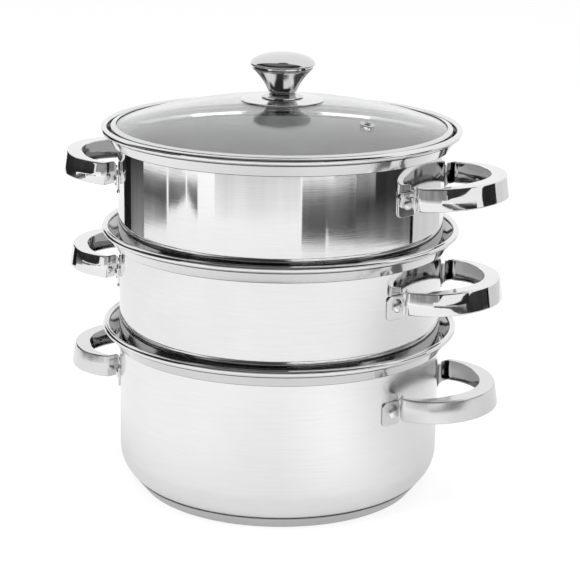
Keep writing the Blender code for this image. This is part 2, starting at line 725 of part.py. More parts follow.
def build_tier(name, height, turn, drop, tilt, collection, cutters, shared, materials):
    axis = new_axis(f"{name}_axis", height, turn, collection)
    holes = [rivet_hole_cutter(f"{name}_rivet_holes", drop, cutters),
             steam_hole_cutter(f"{name}_steam_holes", cutters)]
    shell = tier_shell_mesh(f"{name}_shell", holes)
    new_object(f"{name}_shell", shell, collection, axis, materials["tier"])
    add_handles(name, drop, tilt, axis, shared, collection, materials)


def build_lid(collection, cutters, materials):
    axis = new_axis("lid_axis", LID_HEIGHT, UPPER_TURN, collection)
    place = vent_matrix()
    hole = rods_cutter("lid_vent_hole", [place], VENT_BARREL_RADIUS + GAP,
                       2 * (GLASS_THICKNESS + OVERRUN), VENT_SEGMENTS, cutters)
    glass_dome = glass_mesh("lid_glass", [hole])
    new_object("lid_glass", glass_dome, collection, axis, materials["glass"])
    new_object("lid_rim_band", band_mesh("lid_rim_band"), collection, axis,
               materials["band"])
    vent = new_object("steam_vent_eyelet", vent_mesh("steam_vent_eyelet"), collection,
                      axis, materials["vent"])
    vent.matrix_local = place
    for name, make, material in (("knob_plate", plate_mesh, "plate"),
                                 ("knob_foot", foot_mesh, "foot"),
                                 ("knob_cone", cone_mesh, "cone"),
                                 ("knob_cap", cap_mesh, "cap"),
                                 ("knob_washer", washer_mesh, "washer"),
                                 ("knob_screw", screw_mesh, "screw")):
        new_object(name, make(name), collection, axis, materials[material])


def make_materials():
    return {"pot": steel("pot_steel", 0.66, 0.24),
            "tier": steel("tier_steel", 0.66, 0.22),
            "base_cap": steel("base_cap_steel", 0.56, 0.34),
            "base_core": surface("base_core_aluminium", (0.62, 0.63, 0.64), 0.5, 1.0),
            "handle": steel("handle_steel", 0.72, 0.12),
            "rivet": steel("rivet_steel", 0.7, 0.14),
            "glass": glass("lid_glass"),
            "band": steel("band_steel", 0.72, 0.14),
            "vent": steel("vent_steel", 0.7, 0.16),
            "plate": steel("plate_steel", 0.7, 0.16),
            "foot": steel("foot_steel", 0.7, 0.16),
            "cone": steel("cone_steel", 0.68, 0.18),
            "cap": steel("cap_steel", 0.7, 0.16),
            "washer": surface("washer_rubber", (0.05, 0.05, 0.05), 0.7, 0.0),
            "screw": steel("screw_steel", 0.62, 0.3)}


def main():
    for obj in list(bpy.data.objects):
        bpy.data.objects.remove(obj, do_unlink=True)
    collection = new_collection("momo_steamer")
    cutters = new_collection("momo_steamer_cutters")
    materials = make_materials()
    shared = {"handle_holes": rivet_hole_cutter("handle_rivet_holes", 0.0, cutters),
              "rivet": rivet_mesh("rivet")}
    build_pot(collection, cutters, shared, materials)
    build_tier("lower_steamer", LOWER_RIM_HEIGHT, LOWER_TURN, LOWER_HANDLE_DROP,
               LOWER_HANDLE_TILT, collection, cutters, shared, materials)
    build_tier("upper_steamer", UPPER_RIM_HEIGHT, UPPER_TURN, UPPER_HANDLE_DROP,
               UPPER_HANDLE_TILT, collection, cutters, shared, materials)
    build_lid(collection, cutters, materials)
    bpy.context.view_layer.update()


main()
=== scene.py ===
"""Looks of the steel momo steamer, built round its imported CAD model.

Metres, in the CAD's frame: +Z up, and the origin under the middle of the pot.
"""
import math

import bmesh
import bpy
from mathutils import Matrix, Vector


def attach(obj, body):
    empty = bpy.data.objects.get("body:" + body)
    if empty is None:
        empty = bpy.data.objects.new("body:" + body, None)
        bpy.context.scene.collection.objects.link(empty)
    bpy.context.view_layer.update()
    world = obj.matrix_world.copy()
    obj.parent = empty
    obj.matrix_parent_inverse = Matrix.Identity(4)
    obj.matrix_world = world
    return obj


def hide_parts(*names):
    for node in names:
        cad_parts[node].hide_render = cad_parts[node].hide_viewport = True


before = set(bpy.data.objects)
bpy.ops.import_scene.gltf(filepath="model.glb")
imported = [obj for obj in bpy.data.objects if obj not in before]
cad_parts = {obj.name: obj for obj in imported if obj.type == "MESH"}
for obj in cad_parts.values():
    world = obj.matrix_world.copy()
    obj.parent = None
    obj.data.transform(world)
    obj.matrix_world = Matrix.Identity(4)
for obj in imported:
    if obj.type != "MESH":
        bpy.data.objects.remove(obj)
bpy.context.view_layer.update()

# Sizes, as in the part's source, apart from some roundings and the fine edges.
GAP = 0.0003
SHEET = 0.0008
RIM_RADIUS = 0.145
POT_RIM_HEIGHT = 0.136
TIER_PITCH = 0.081
BEAD_RADIUS = 0.0027
# The painted shade lines: the angle on the bead where the upper one starts, and how tall each
# line is.
PAINTED_SHADE_START = math.radians(65)
PAINTED_SHADE_WIDTH = 0.0015
RIM_OVERHANG = 0.0134
LEDGE_DEPTH = 0.0126
LEDGE_WIDTH = 0.0036
COLLAR_FOOT_ROUNDING = 0.0014
COLLAR_MEETS_BEAD = math.radians(-100)
LEDGE_ROUNDING = 0.0006
BODY_BOTTOM = 0.0047
BODY_CORNER = 0.028
CAP_FLOOR_INSET = 0.0181
CAP_SEAM = math.radians(-53.5)
CAP_ROUNDING = 0.002
SHOULDER_ROUNDING = 0.0008
NECK_INSET = 0.0027
NECK_LENGTH = 0.014
NECK_ROUNDING = 0.0003
FLOOR_CORNER = 0.004
STEAM_HOLE_RADIUS = 0.004
HOLE_MARGIN = 0.0404
HOLE_RINGS = 3
HOLES_IN_FIRST_RING = 6
HOLE_CHAMFER = 0.0003
LOWER_TURN = math.radians(0.65)
UPPER_TURN = math.radians(4.5)

STRAP = 0.0012
STRAP_HEIGHT = 0.018
STRAP_EDGE = 0.0013
TAB_EDGE = 0.0004
STRAP_FILLET = 0.0008
STRAP_CREASE = 0.001
HANDLES = {"pot": (0.0320, math.radians(-0.5)),
           "lower_steamer": (0.0272, math.radians(1.2)),
           "upper_steamer": (0.0285, math.radians(3))}
LOOP_LENGTH = 0.052
LOOP_STANDOFF = 0.0034
LOOP_HALF_WIDTH = 0.058
LOOP_EXPONENT = 1.9
ARM_ANGLE = math.radians(66)
ARM_TIGHTNESS = 4.0
BEND_HALF_WIDTH = 0.0494
BEND_RADIUS = 0.001
DRAFT = 0.0028
TOP_FLANGE = 0.011
BOTTOM_FLANGE = 0.008
TAB_LENGTH = 0.0173
TAB_HEIGHT = 0.019
TAB_DROP = 0.004
TAB_CORNER = 0.004
RIVET_FROM_BEND = 0.007
RIVET_HEAD_RADIUS = 0.0042
RIVET_HEAD_HEIGHT = 0.0022
RIVET_TAIL_RADIUS = 0.004
RIVET_TAIL_HEIGHT = 0.0012

LID_PLAY = 0.0004
BAND_FLARE = 0.002
GLASS_THICKNESS = 0.004
GLASS_RISE = 0.022
GLASS_EDGE_HEIGHT = 0.0125
BAND_SHEET = 0.0007
BAND_LIP = 0.0043
BAND_UNDER_LIP = 0.004
BAND_ROUNDING = 0.0009
BAND_SKIRT_BEND = 0.003
VENT_PLACE_SHARE = 0.669
VENT_TURN = math.radians(-21)
VENT_BORE_RADIUS = 0.002
VENT_BARREL_RADIUS = 0.0037
VENT_FLANGE_RADIUS = 0.0058
VENT_FLANGE = 0.001
VENT_ROLL_RADIUS = 0.0052

PLATE_RADIUS = 0.0332
PLATE_SHEET = 0.0008
FOOT_RADIUS = 0.0172
FOOT_EDGE = 0.0011
FOOT_NECK_RADIUS = 0.0105
FOOT_HEIGHT = 0.0034
CONE_FOOT_RADIUS = 0.0116
CONE_TOP_RADIUS = 0.0242
CONE_HEIGHT = 0.0198
CONE_HOLLOW = 0.0012
CONE_LIP = 0.0011
CAP_RADIUS = 0.026
CAP_SKIRT = 0.0026
CAP_DOME = 0.0092
SCREW_RADIUS = 0.0025
SCREW_HEAD_RADIUS = 0.005
SCREW_HEAD_HEIGHT = 0.0025
WASHER_RADIUS = 0.009
WASHER_THICKNESS = 0.0012
SCREW_IN_CONE = 0.010
SOCKET_DEPTH = 0.001

WALL_RADIUS = RIM_RADIUS - RIM_OVERHANG
BEAD_CENTRE = RIM_RADIUS - BEAD_RADIUS
COLLAR_FOOT_RADIUS = WALL_RADIUS + LEDGE_WIDTH
CAP_FLOOR_RADIUS = WALL_RADIUS - CAP_FLOOR_INSET
NECK_RADIUS = WALL_RADIUS - NECK_INSET
HOLE_RING_PITCH = (NECK_RADIUS - HOLE_MARGIN) / HOLE_RINGS
LOOP_REACH = WALL_RADIUS + LOOP_LENGTH
LOOP_START = WALL_RADIUS + LOOP_STANDOFF
BAND_FOOT_RADIUS = COLLAR_FOOT_RADIUS - SHEET - LID_PLAY
GLASS_RADIUS = BAND_FOOT_RADIUS + BAND_FLARE
VENT_FROM_AXIS = VENT_PLACE_SHARE * GLASS_RADIUS
SEAT = SHEET - LEDGE_DEPTH + GAP
LOWER_RIM_HEIGHT = POT_RIM_HEIGHT + TIER_PITCH
UPPER_RIM_HEIGHT = LOWER_RIM_HEIGHT + TIER_PITCH
LID_HEIGHT = UPPER_RIM_HEIGHT + SEAT
TAB_FACE = WALL_RADIUS + GAP + STRAP
BEND_ANGLE = math.asin(BEND_HALF_WIDTH / TAB_FACE)
RIVET_ANGLE = BEND_ANGLE + RIVET_FROM_BEND / TAB_FACE
RIVETS = {"right_front": -RIVET_ANGLE, "right_back": RIVET_ANGLE,
          "left_front": math.pi + RIVET_ANGLE, "left_back": math.pi - RIVET_ANGLE}
RIVET_DROP = TAB_DROP + TAB_HEIGHT / 2
DOME_RADIUS = (GLASS_RADIUS ** 2 + GLASS_RISE ** 2) / (2 * GLASS_RISE)
GLASS_TOP = GLASS_EDGE_HEIGHT + GLASS_RISE
DOME_CENTRE = GLASS_TOP - DOME_RADIUS
PLATE_TOP = GLASS_TOP + GAP + PLATE_SHEET
FOOT_TOP = PLATE_TOP + GAP + FOOT_HEIGHT
CONE_TOP = FOOT_TOP + GAP + CONE_HEIGHT
SCREW_BORE = SCREW_RADIUS + GAP

# Fineness of the turned, bent and rounded shapes.
RING_STEPS = 256
KNOB_STEPS = 128
SMALL_STEPS = 48
ROD_STEPS = 24
BROAD_STEPS = 8
FILLET_STEPS = 6
ROLL_STEPS = 5
EDGE_STEPS = 4
BEAD_STEPS = 28
CORNER_STEPS = 24
BEND_STEPS = 5
TAB_STEPS = 5
ARM_STEPS = 16
LOOP_STEPS = 36
GLASS_STEPS = 40
SLOPE_STEPS = 28
CAP_STEPS = 24
SHARP_ANGLE = math.radians(40)
STRAP_SHARP_ANGLE = math.radians(50)
SMALLEST_ROUNDING = 0.0002
ON_AXIS = 1e-7
MERGE_DISTANCE = 0.000004

# Shares of a sheet or flange that the rounding of one edge takes.
EDGE_SHARE = 0.45
SHEET_EDGE_SHARE = 0.4

# Strap: how far the channel has formed where the loop starts, how fast it forms on the
# loop, and how the crease of the arm fades there.
CHANNEL_AT_LOOP = 0.4
CHANNEL_RATE = 1.2
CREASE_START = 1.5
CREASE_RATE = 2.4

# Steel: the shares of its tone in dull and bright places, the scale of its smudges, its
# least roughness, and the depths of its waves and scratches.
DULL_SHARE = 0.94
BRIGHT_SHARE = 1.03
SMUDGE_SCALE = 22.0
SMOOTHEST = 0.02
SWELL_DEPTH = 0.001
SCRATCH_DEPTH = 0.00004

# Places of the materials on a vessel's sheet. The ledge and the last one take darker steel, as
# painted shade.
WALL, INSIDE, RIM, LEDGE, PAINTED_SHADE = range(5)

# Camera, measured from the photograph: from the top rim's centre, and turned about
# the steamer's axis from a view along +Y.
CAMERA_AZIMUTH = math.radians(23.05)
CAMERA_DISTANCE = 1.44626
CAMERA_ABOVE_RIM = 0.26566
CAMERA_PITCH = 0.270816
CAMERA_YAW = 0.0057635
CAMERA_ROLL = 0.0143329
CAMERA_LENS = 113.29
SENSOR_WIDTH = 36.0

# Studio: the floor, the world's level as it lights the steamer, the roof cards' height,
# the degrees between two steps of a card, and the scale of the streaks.
FLOOR_TONE = 0.8
FLOOR_SOFT = 0.34
FLOOR_GLOW = 0.78
FLOOR_REACH = 14.0
FLOOR_DROP = 0.0002
WORLD_LEVEL = 0.55
ROOF_HEIGHT = 2.0
CARD_STEP = 4
STREAK_SCALE = (9.0, 9.0, 1.5)

# Shades of the floor that only mirrors show: azimuth, distance, radii of core and edge,
# and depth, below zero for a bright one.
FLOOR_SPOTS = ((0, 0.0, 0.85, 1.5, 0.2), (0, 0.0, 0.15, 0.3, 0.2),
               (-6, 0.30, 0.0, 0.24, 0.16), (84, 0.50, 0.1, 0.5, 0.34),
               (38, 0.36, 0.0, 0.26, -0.2))


# Shapes

def facing(angle):
    return Vector((math.cos(angle), math.sin(angle)))


def shares(steps):
    """Even steps from zero to one."""
    return [i / steps for i in range(steps + 1)]


def quarter_turn(steps):
    """Angles from zero to a right angle."""
    return [math.pi / 2 * i / steps for i in range(steps + 1)]


def right_normal(start, end):
    along = (end - start).normalized()
    return Vector((along.y, -along.x))


def rounding_of(corner):
    """Rounding and steps of an (r, z, rounding, steps) corner, which may leave them out."""
    return (*corner[2:], *(0, EDGE_STEPS)[len(corner) - 2:])


def round_corners(corners):
    """Points of an open line of corners."""
    points = [Vector(corners[0][:2])]
    for before, corner, after in zip(corners, corners[1:], corners[2:]):
        at = Vector(corner[:2])
        rounding, steps = rounding_of(corner)
        if rounding <= 0:
            points.append(at)
            continue
        back = (Vector(before[:2]) - at).normalized()
        ahead = (Vector(after[:2]) - at).normalized()
        half = back.angle(ahead) / 2
        centre = at + (back + ahead).normalized() * rounding / math.sin(half)
        start = at + back * rounding / math.tan(half) - centre
        end = at + ahead * rounding / math.tan(half) - centre
        sweep = math.atan2(start.x * end.y - start.y * end.x, start.dot(end))
        for i in range(steps + 1):
            points.append(centre + Matrix.Rotation(sweep * i / steps, 2) @ start)
    points.append(Vector(corners[-1][:2]))
    return points


def inner_corners(corners, thickness):
    """The same line on the other face of the sheet, to its right."""
    spots = [Vector(corner[:2]) for corner in corners]
    shifted = [spots[0] + right_normal(spots[0], spots[1]) * thickness]
    for before, at, after, corner in zip(spots, spots[1:], spots[2:], corners[1:]):
        first = right_normal(before, at)
        second = right_normal(at, after)
        mitre = (first + second) / (1 + first.dot(second))
        turn = (at - before).cross(after - at)
        rounding, steps = rounding_of(corner)
        rounding += thickness if turn > 0 else -thickness
        shifted.append((*(at + mitre * thickness), max(rounding, SMALLEST_ROUNDING), steps))
    shifted.append(spots[-1] + right_normal(spots[-2], spots[-1]) * thickness)
    return shifted


def new_object(name, data):
    new = bpy.data.objects.new(name, data)
    bpy.context.scene.collection.objects.link(new)
    return new


def smooth(mesh, materials=(), angle=SHARP_ANGLE):
    for material in materials:
        mesh.materials.append(material)
    mesh.shade_smooth()
    mesh.set_sharp_from_angle(angle=angle)
    return mesh


def mesh_of(name, verts, faces, materials, slots=None):
    mesh = bpy.data.meshes.new(name)
    mesh.from_pydata([tuple(v) for v in verts], [], faces)
    if slots:
        mesh.polygons.foreach_set("material_index", slots)
    mesh.validate()
    return smooth(mesh, materials)


def turned(name, line, materials, steps=RING_STEPS, closed=False, slots=None):
    """Turn a line of (r, z) about Z. slots gives the material of each strip."""
    verts = []
    rows = []
    for r, z in line:
        if r < ON_AXIS:
            rows.append([len(verts)] * steps)
            verts.append((0.0, 0.0, z))
            continue
        rows.append(list(range(len(verts), len(verts) + steps)))
        for i in range(steps):
            angle = math.tau * i / steps
            verts.append((r * math.cos(angle), r * math.sin(angle), z))
    pairs = list(zip(rows, rows[1:]))
    if closed:
        pairs.append((rows[-1], rows[0]))
    faces = []
    indices = []
    for strip, (near, far) in enumerate(pairs):
        for i in range(steps):
            j = (i + 1) % steps
            corners = list(dict.fromkeys((near[i], far[i], far[j], near[j])))
            if len(corners) > 2:
                faces.append(corners)
                indices.append(slots[strip] if slots else 0)
    return mesh_of(name, verts, faces, materials, indices)


def cut(mesh, rods):
    """Cut the mesh with rods, each a (matrix, line of (r, z)) turned about its own Z."""
    uncut = new_object(mesh.name + "_uncut", mesh)
    together = bmesh.new()
    for matrix, line in rods:
        rod = turned("rod", line, [], ROD_STEPS)
        rod.transform(matrix)
        together.from_mesh(rod)
        bpy.data.meshes.remove(rod)
    cutter = new_object(mesh.name + "_cutter", bpy.data.meshes.new(mesh.name + "_cutter"))
    together.to_mesh(cutter.data)
    together.free()
    boolean = uncut.modifiers.new("Cut", "BOOLEAN")
    boolean.operation = "DIFFERENCE"
    boolean.solver = "EXACT"
    boolean.object = cutter
    graph = bpy.context.evaluated_depsgraph_get()
    result = bpy.data.meshes.new_from_object(uncut.evaluated_get(graph), depsgraph=graph)
    bpy.data.objects.remove(uncut)
    bpy.data.objects.remove(cutter)
    return smooth(result)


def plain_rod(radius, reach):
    return [(0, reach), (radius, reach), (radius, -reach), (0, -reach)]


def add_piece(name, mesh, body, node, slot, place=None):
    """Object that rides on a body and stands for a CAD node; the slot is not used."""
    if place:
        mesh.transform(place)
    obj = new_object(name, mesh)
    flats = obj.modifiers.new("Flat faces stay flat", "WEIGHTED_NORMAL")
    flats.mode = "FACE_AREA"
    flats.keep_sharp = True
    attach(obj, body)
    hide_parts(node)


# Vessels

def rim_corners():
    start = (BEAD_CENTRE + BEAD_RADIUS * math.cos(COLLAR_MEETS_BEAD),
             BEAD_RADIUS * math.sin(COLLAR_MEETS_BEAD))
    return [start,
            (COLLAR_FOOT_RADIUS, -LEDGE_DEPTH, COLLAR_FOOT_ROUNDING, FILLET_STEPS),
            (WALL_RADIUS, -LEDGE_DEPTH, LEDGE_ROUNDING, FILLET_STEPS)]


def vessel_line(corners):
    """Line round a vessel's sheet and bead, and the material of each strip."""
    outer = round_corners(corners)
    # An extra point just under the bead bounds the painted shade line there.
    collar = (outer[1] - outer[0]).normalized()
    outer.insert(1, outer[0] + collar * PAINTED_SHADE_WIDTH)
    inner = round_corners(inner_corners(corners, SHEET))
    bead = Vector((BEAD_CENTRE, 0))
    down = (inner[1] - inner[0]).normalized()
    reach = inner[0] - bead
    ahead = -reach.dot(down)
    ahead += math.sqrt(ahead ** 2 - reach.length_squared + BEAD_RADIUS ** 2)
    inner[0] += down * ahead
    start = math.atan2(inner[0].y - bead.y, inner[0].x - bead.x) % math.tau
    roll = [bead + BEAD_RADIUS * facing(start + (COLLAR_MEETS_BEAD - start) * i / BEAD_STEPS)
            for i in range(1, BEAD_STEPS)]
    line = inner[::-1] + roll + outer
    floor = -LEDGE_DEPTH - SHEET
    under_bead = -BEAD_RADIUS * math.sin(PAINTED_SHADE_START)
    slots = []
    for i, (near, far) in enumerate(zip(line, line[1:])):
        middle = (near + far) / 2
        inside = i < len(inner) - 1
        # Thin strips of painted shade: just under the bead, and at the collar's foot.
        near_seam = (-BEAD_RADIUS - PAINTED_SHADE_WIDTH < middle.y < under_bead
                     or middle.y < PAINTED_SHADE_WIDTH - LEDGE_DEPTH)
        if middle.y < floor:
            slots.append(INSIDE if inside else WALL)
        # The collar's inner strips take the ledge's darker steel, as painted shade.
        elif inside:
            slots.append(LEDGE)
        else:
            slots.append(PAINTED_SHADE if near_seam else RIM)
    return line, slots


def pot_shell(materials):
    bottom = BODY_BOTTOM - POT_RIM_HEIGHT
    line, slots = vessel_line([*rim_corners(), (WALL_RADIUS, bottom, BODY_CORNER, CORNER_STEPS),
                               (0, bottom)])
    return turned("pot_shell_sheet", line, materials, slots=slots)


def tier_shell(name, materials):
    shoulder = SEAT - TIER_PITCH
    floor = shoulder - NECK_LENGTH
    line, slots = vessel_line([
        *rim_corners(),
        (WALL_RADIUS, shoulder, SHOULDER_ROUNDING, FILLET_STEPS),
        (NECK_RADIUS, shoulder, NECK_ROUNDING, FILLET_STEPS),
        (NECK_RADIUS, floor, FLOOR_CORNER, FILLET_STEPS),
        (0, floor)])
    mesh = turned(name, line, materials, slots=slots)
    middle = floor + SHEET / 2
    past = SHEET * 2
    rod = [(0, past), (STEAM_HOLE_RADIUS + HOLE_CHAMFER * 3, past),
           (STEAM_HOLE_RADIUS + HOLE_CHAMFER, SHEET / 2),
           (STEAM_HOLE_RADIUS, SHEET / 2 - HOLE_CHAMFER),
           (STEAM_HOLE_RADIUS, -past), (0, -past)]
    rods = []
    for ring in range(HOLE_RINGS + 1):
        count = max(1, HOLES_IN_FIRST_RING * ring)
        for i in range(count):
            spot = HOLE_RING_PITCH * ring * facing(math.tau * i / count)
            rods.append((Matrix.Translation((*spot, middle)), rod))
    return cut(mesh, rods)


def base_cap(materials):
    centre = Vector((WALL_RADIUS - BODY_CORNER, BODY_BOTTOM + BODY_CORNER))
    edge = centre + (BODY_CORNER + GAP + SHEET) * facing(CAP_SEAM)
    corners = [edge, (CAP_FLOOR_RADIUS, 0, CAP_ROUNDING, FILLET_STEPS), (0, 0)]
    inner = round_corners(inner_corners(corners, SHEET))
    outer = round_corners(corners)
    lip = (outer[0] + inner[0]) / 2 + (outer[0] - outer[1]).normalized() * SHEET / 4
    rolled = [(*v, SHEET / 6, FILLET_STEPS) for v in (inner[0], lip, outer[0])]
    rolled = round_corners([inner[1], *rolled, outer[1]])
    return turned("pot_base_cap_sheet", inner[:1:-1] + rolled + outer[2:], materials)


# Handles

def strap_stations():
    """Places along half the strap, from the tab's end to the tip of the loop.

    Each has the outer face's place and direction in plan, the drop of its top edge,
    its height, how far the channel has formed and how far the crease stands out.
    """
    stations = []
    end_angle = BEND_ANGLE + TAB_LENGTH / TAB_FACE
    for corner in quarter_turn(BROAD_STEPS):
        inset = TAB_CORNER * (1 - math.sin(corner))
        angle = end_angle - TAB_CORNER * (1 - math.cos(corner)) / TAB_FACE
        stations.append((TAB_FACE * facing(angle), facing(angle), TAB_DROP + inset,
                         TAB_HEIGHT - 2 * inset, 0.0, 0.0))
    tab_angle = end_angle - TAB_CORNER / TAB_FACE
    for i in range(1, TAB_STEPS):
        angle = tab_angle + (BEND_ANGLE - tab_angle) * i / TAB_STEPS
        stations.append((TAB_FACE * facing(angle), facing(angle), TAB_DROP, TAB_HEIGHT,
                         0.0, 0.0))
    centre = (TAB_FACE + BEND_RADIUS) * facing(BEND_ANGLE)
    arm_facing = ARM_ANGLE + math.pi / 2
    for done in shares(BROAD_STEPS):
        face = facing(BEND_ANGLE + (arm_facing - BEND_ANGLE) * done)
        drop = TAB_DROP * (1 - done)
        height = TAB_HEIGHT + (STRAP_HEIGHT - TAB_HEIGHT) * done
        stations.append((centre - BEND_RADIUS * face, face, drop, height, 0.0, done))
    line = arm_and_loop(stations[-1][0])
    for i, (point, formed, crease) in enumerate(line):
        back = line[i - 1][0] if i else stations[-1][0]
        ahead = line[i + 1][0] if i + 1 < len(line) else Vector((back.x, -back.y))
        stations.append((point, -right_normal(back, ahead), 0.0, STRAP_HEIGHT, formed,
                         crease))
    return stations


def arm_and_loop(start):
    """Points of a curved arm and a quarter of the rounded end."""
    end = Vector((LOOP_START, LOOP_HALF_WIDTH))
    along = (LOOP_HALF_WIDTH - start.y) / math.tan(ARM_ANGLE)
    middle = Vector((start.x + along, LOOP_HALF_WIDTH))
    points = []
    for t in shares(ARM_STEPS)[1:]:
        pull = 2 * t * (1 - t) * ARM_TIGHTNESS
        total = (1 - t) ** 2 + pull + t ** 2
        point = ((1 - t) ** 2 * start + pull * middle + t ** 2 * end) / total
        points.append((point, CHANNEL_AT_LOOP * t, 1.0))
    for t in shares(LOOP_STEPS)[1:]:
        angle = math.pi / 2 * (1 - t)
        across = math.sin(angle) ** (2 / LOOP_EXPONENT)
        out = abs(math.cos(angle)) ** (2 / LOOP_EXPONENT)
        point = Vector((LOOP_START + (LOOP_REACH - LOOP_START) * out,
                        LOOP_HALF_WIDTH * across))
        formed = min(1.0, CHANNEL_AT_LOOP + CHANNEL_RATE * t)
        points.append((point, formed, max(0.0, min(1.0, CREASE_START - CREASE_RATE * t))))
    return points


def corner_arc(x, y, first, second, radius):
    """Rounded corner of the strap's section, from the side first to the side second."""
    return [Vector((x, y)) + first * radius * (1 - math.sin(angle))
            + second * radius * (1 - math.cos(angle)) for angle in quarter_turn(BEND_STEPS)]


def strap_section(height, formed, crease):
    """Section of the strap as (out, up), clockwise from its outer top corner."""
    edge = TAB_EDGE + (STRAP_EDGE - TAB_EDGE) * min(1.0, 2 * formed)
    top = TOP_FLANGE * formed
    bottom = BOTTOM_FLANGE * formed
    tip = min(STRAP * EDGE_SHARE, top * EDGE_SHARE)
    low_tip = min(tip, bottom * EDGE_SHARE)
    fillet = min(STRAP_FILLET, bottom * EDGE_SHARE)
    out, back = Vector((1, 0)), Vector((-1, 0))
    up, down = Vector((0, 1)), Vector((0, -1))
    ring = corner_arc(0, 0, down, back, edge)
    ring += corner_arc(-STRAP - top, 0, out, down, tip)
    ring += corner_arc(-STRAP - top, -STRAP, up, out, tip)
    ring += corner_arc(-STRAP, -STRAP, back, down, fillet)
    for share in (0.25, 0.5, 0.75):
        ring.append(Vector((-STRAP + crease * (1 - abs(2 * share - 1)), -height * share)))
    ring += corner_arc(-STRAP, STRAP - height, up, back, fillet)
    ring += corner_arc(-STRAP - bottom, STRAP - height, out, down, low_tip)
    ring += corner_arc(-STRAP - bottom, -height, up, out, low_tip)
    ring += corner_arc(0, -height, back, up, edge)
    for share in (0.8, 0.65, 0.5, 0.35, 0.2):
        ring.append(Vector((crease * (1 - abs(2 * share - 1)), -height * share)))
    return ring


def handle_mesh(name, tilt, materials):
    rings = []
    for point, face, drop, height, formed, crease in strap_stations():
        lean = DRAFT * formed
        ring = []
        for v in strap_section(height, formed, STRAP_CREASE * crease):
            spot = point + face * (v.x - lean * v.y / height)
            climb = math.tan(tilt) * (spot.x - LOOP_START) * min(1.0, 2 * formed)
            ring.append(Vector((spot.x, spot.y, v.y - drop + climb)))
        rings.append(ring)
    rings += [[Vector((v.x, -v.y, v.z)) for v in ring] for ring in rings[-2::-1]]
    strap = bmesh.new()
    loops = [[strap.verts.new(v) for v in ring] for ring in rings]
    for near, far in zip(loops, loops[1:]):
        for i in range(len(near)):
            j = (i + 1) % len(near)
            face = strap.faces.new((near[i], near[j], far[j], far[i]))
            # Faces inside the channel take the second material, the darker steel of painted
            # shade.
            in_channel = 3 * BEND_STEPS < i < 7 * BEND_STEPS
            face.material_index = int(in_channel)
    strap.faces.new(loops[0])
    strap.faces.new(loops[-1][::-1])
    bmesh.ops.remove_doubles(strap, verts=strap.verts, dist=MERGE_DISTANCE)
    bmesh.ops.recalc_face_normals(strap, faces=strap.faces)
    mesh = bpy.data.meshes.new(name)
    strap.to_mesh(mesh)
    strap.free()
    return smooth(mesh, materials, STRAP_SHARP_ANGLE)


def rivet_mesh(name, materials):
    """Rivet along its own Z, with zero at the outer face of the wall."""
    seat = GAP + STRAP + GAP
    tail = -(SHEET + GAP)
    shank = RIVET_TAIL_RADIUS * 0.6
    head = [(RIVET_HEAD_RADIUS * math.sin(angle), seat + RIVET_HEAD_HEIGHT * math.cos(angle))
            for angle in quarter_turn(12)]
    foot = [(RIVET_TAIL_RADIUS * math.cos(angle), tail - RIVET_TAIL_HEIGHT * math.sin(angle))
            for angle in quarter_turn(10)]
    middle = [(RIVET_HEAD_RADIUS * 0.97, seat - GAP), (shank, seat - GAP), (shank, tail)]
    return turned(name, head + middle + foot, materials, SMALL_STEPS)


# Lid

def on_dome(radius, depth):
    """Point (r, z) of the glass, this deep under its top face."""
    return Vector((radius, DOME_CENTRE + math.sqrt((DOME_RADIUS - depth) ** 2 - radius ** 2)))


def vent_matrix():
    spot = on_dome(VENT_FROM_AXIS, 0)
    tilt = math.asin(VENT_FROM_AXIS / DOME_RADIUS)
    turn = Matrix.Rotation(VENT_TURN - UPPER_TURN, 4, "Z")
    return turn @ Matrix.Translation((spot.x, 0, spot.y)) @ Matrix.Rotation(tilt, 4, "Y")


def glass_mesh(materials):
    radii = [SCREW_BORE + (GLASS_RADIUS - SCREW_BORE) * i / GLASS_STEPS
             for i in range(GLASS_STEPS + 1)]
    top = [on_dome(r, 0) for r in radii]
    under = [on_dome(r, GLASS_THICKNESS) for r in reversed(radii)]
    mesh = turned("lid_glass_dome", top + under, materials, closed=True)
    rod = plain_rod(VENT_BARREL_RADIUS + GAP, GLASS_THICKNESS * 2)
    return cut(mesh, [(vent_matrix(), rod)])


def band_mesh(materials):
    inside = GLASS_RADIUS + GAP
    outside = inside + BAND_SHEET
    lip_end = outside - BAND_LIP
    under_end = outside - BAND_UNDER_LIP
    lip_height = on_dome(lip_end, 0).y + GAP
    shelf = on_dome(GLASS_RADIUS, GLASS_THICKNESS).y - GAP
    edge_height = GLASS_EDGE_HEIGHT + GAP
    small = BAND_SHEET * SHEET_EDGE_SHARE
    corners = [(lip_end + small, lip_height + BAND_SHEET),
               (outside, edge_height + BAND_SHEET, BAND_ROUNDING, BROAD_STEPS),
               (outside, shelf - BAND_SHEET, BAND_ROUNDING, BROAD_STEPS),
               (BAND_FOOT_RADIUS, 0, small),
               (BAND_FOOT_RADIUS - BAND_SHEET, 0, small),
               (BAND_FOOT_RADIUS - BAND_SHEET * 0.15, BAND_SKIRT_BEND, BAND_SKIRT_BEND / 3),
               (outside - 2 * BAND_SHEET, shelf - BAND_SHEET, small),
               (under_end, shelf - BAND_SHEET, small),
               (under_end, shelf, small),
               (inside, shelf, small),
               (inside, edge_height, small),
               (lip_end, lip_height, small),
               (lip_end, lip_height + BAND_SHEET, small),
               (lip_end + small, lip_height + BAND_SHEET)]
    line = round_corners(corners)[:-1]
    # The skirt's outer face under the shelf takes the second material, dark steel as painted
    # shade in the gap.
    slots = [int(near.x > BAND_FOOT_RADIUS - BAND_SHEET / 2 and near.y < shelf - BAND_SHEET
                 and (near - far).length > BAND_SHEET)
             for near, far in zip(line, line[1:] + line[:1])]
    return turned("lid_rim_band_sheet", line, materials, closed=True, slots=slots)


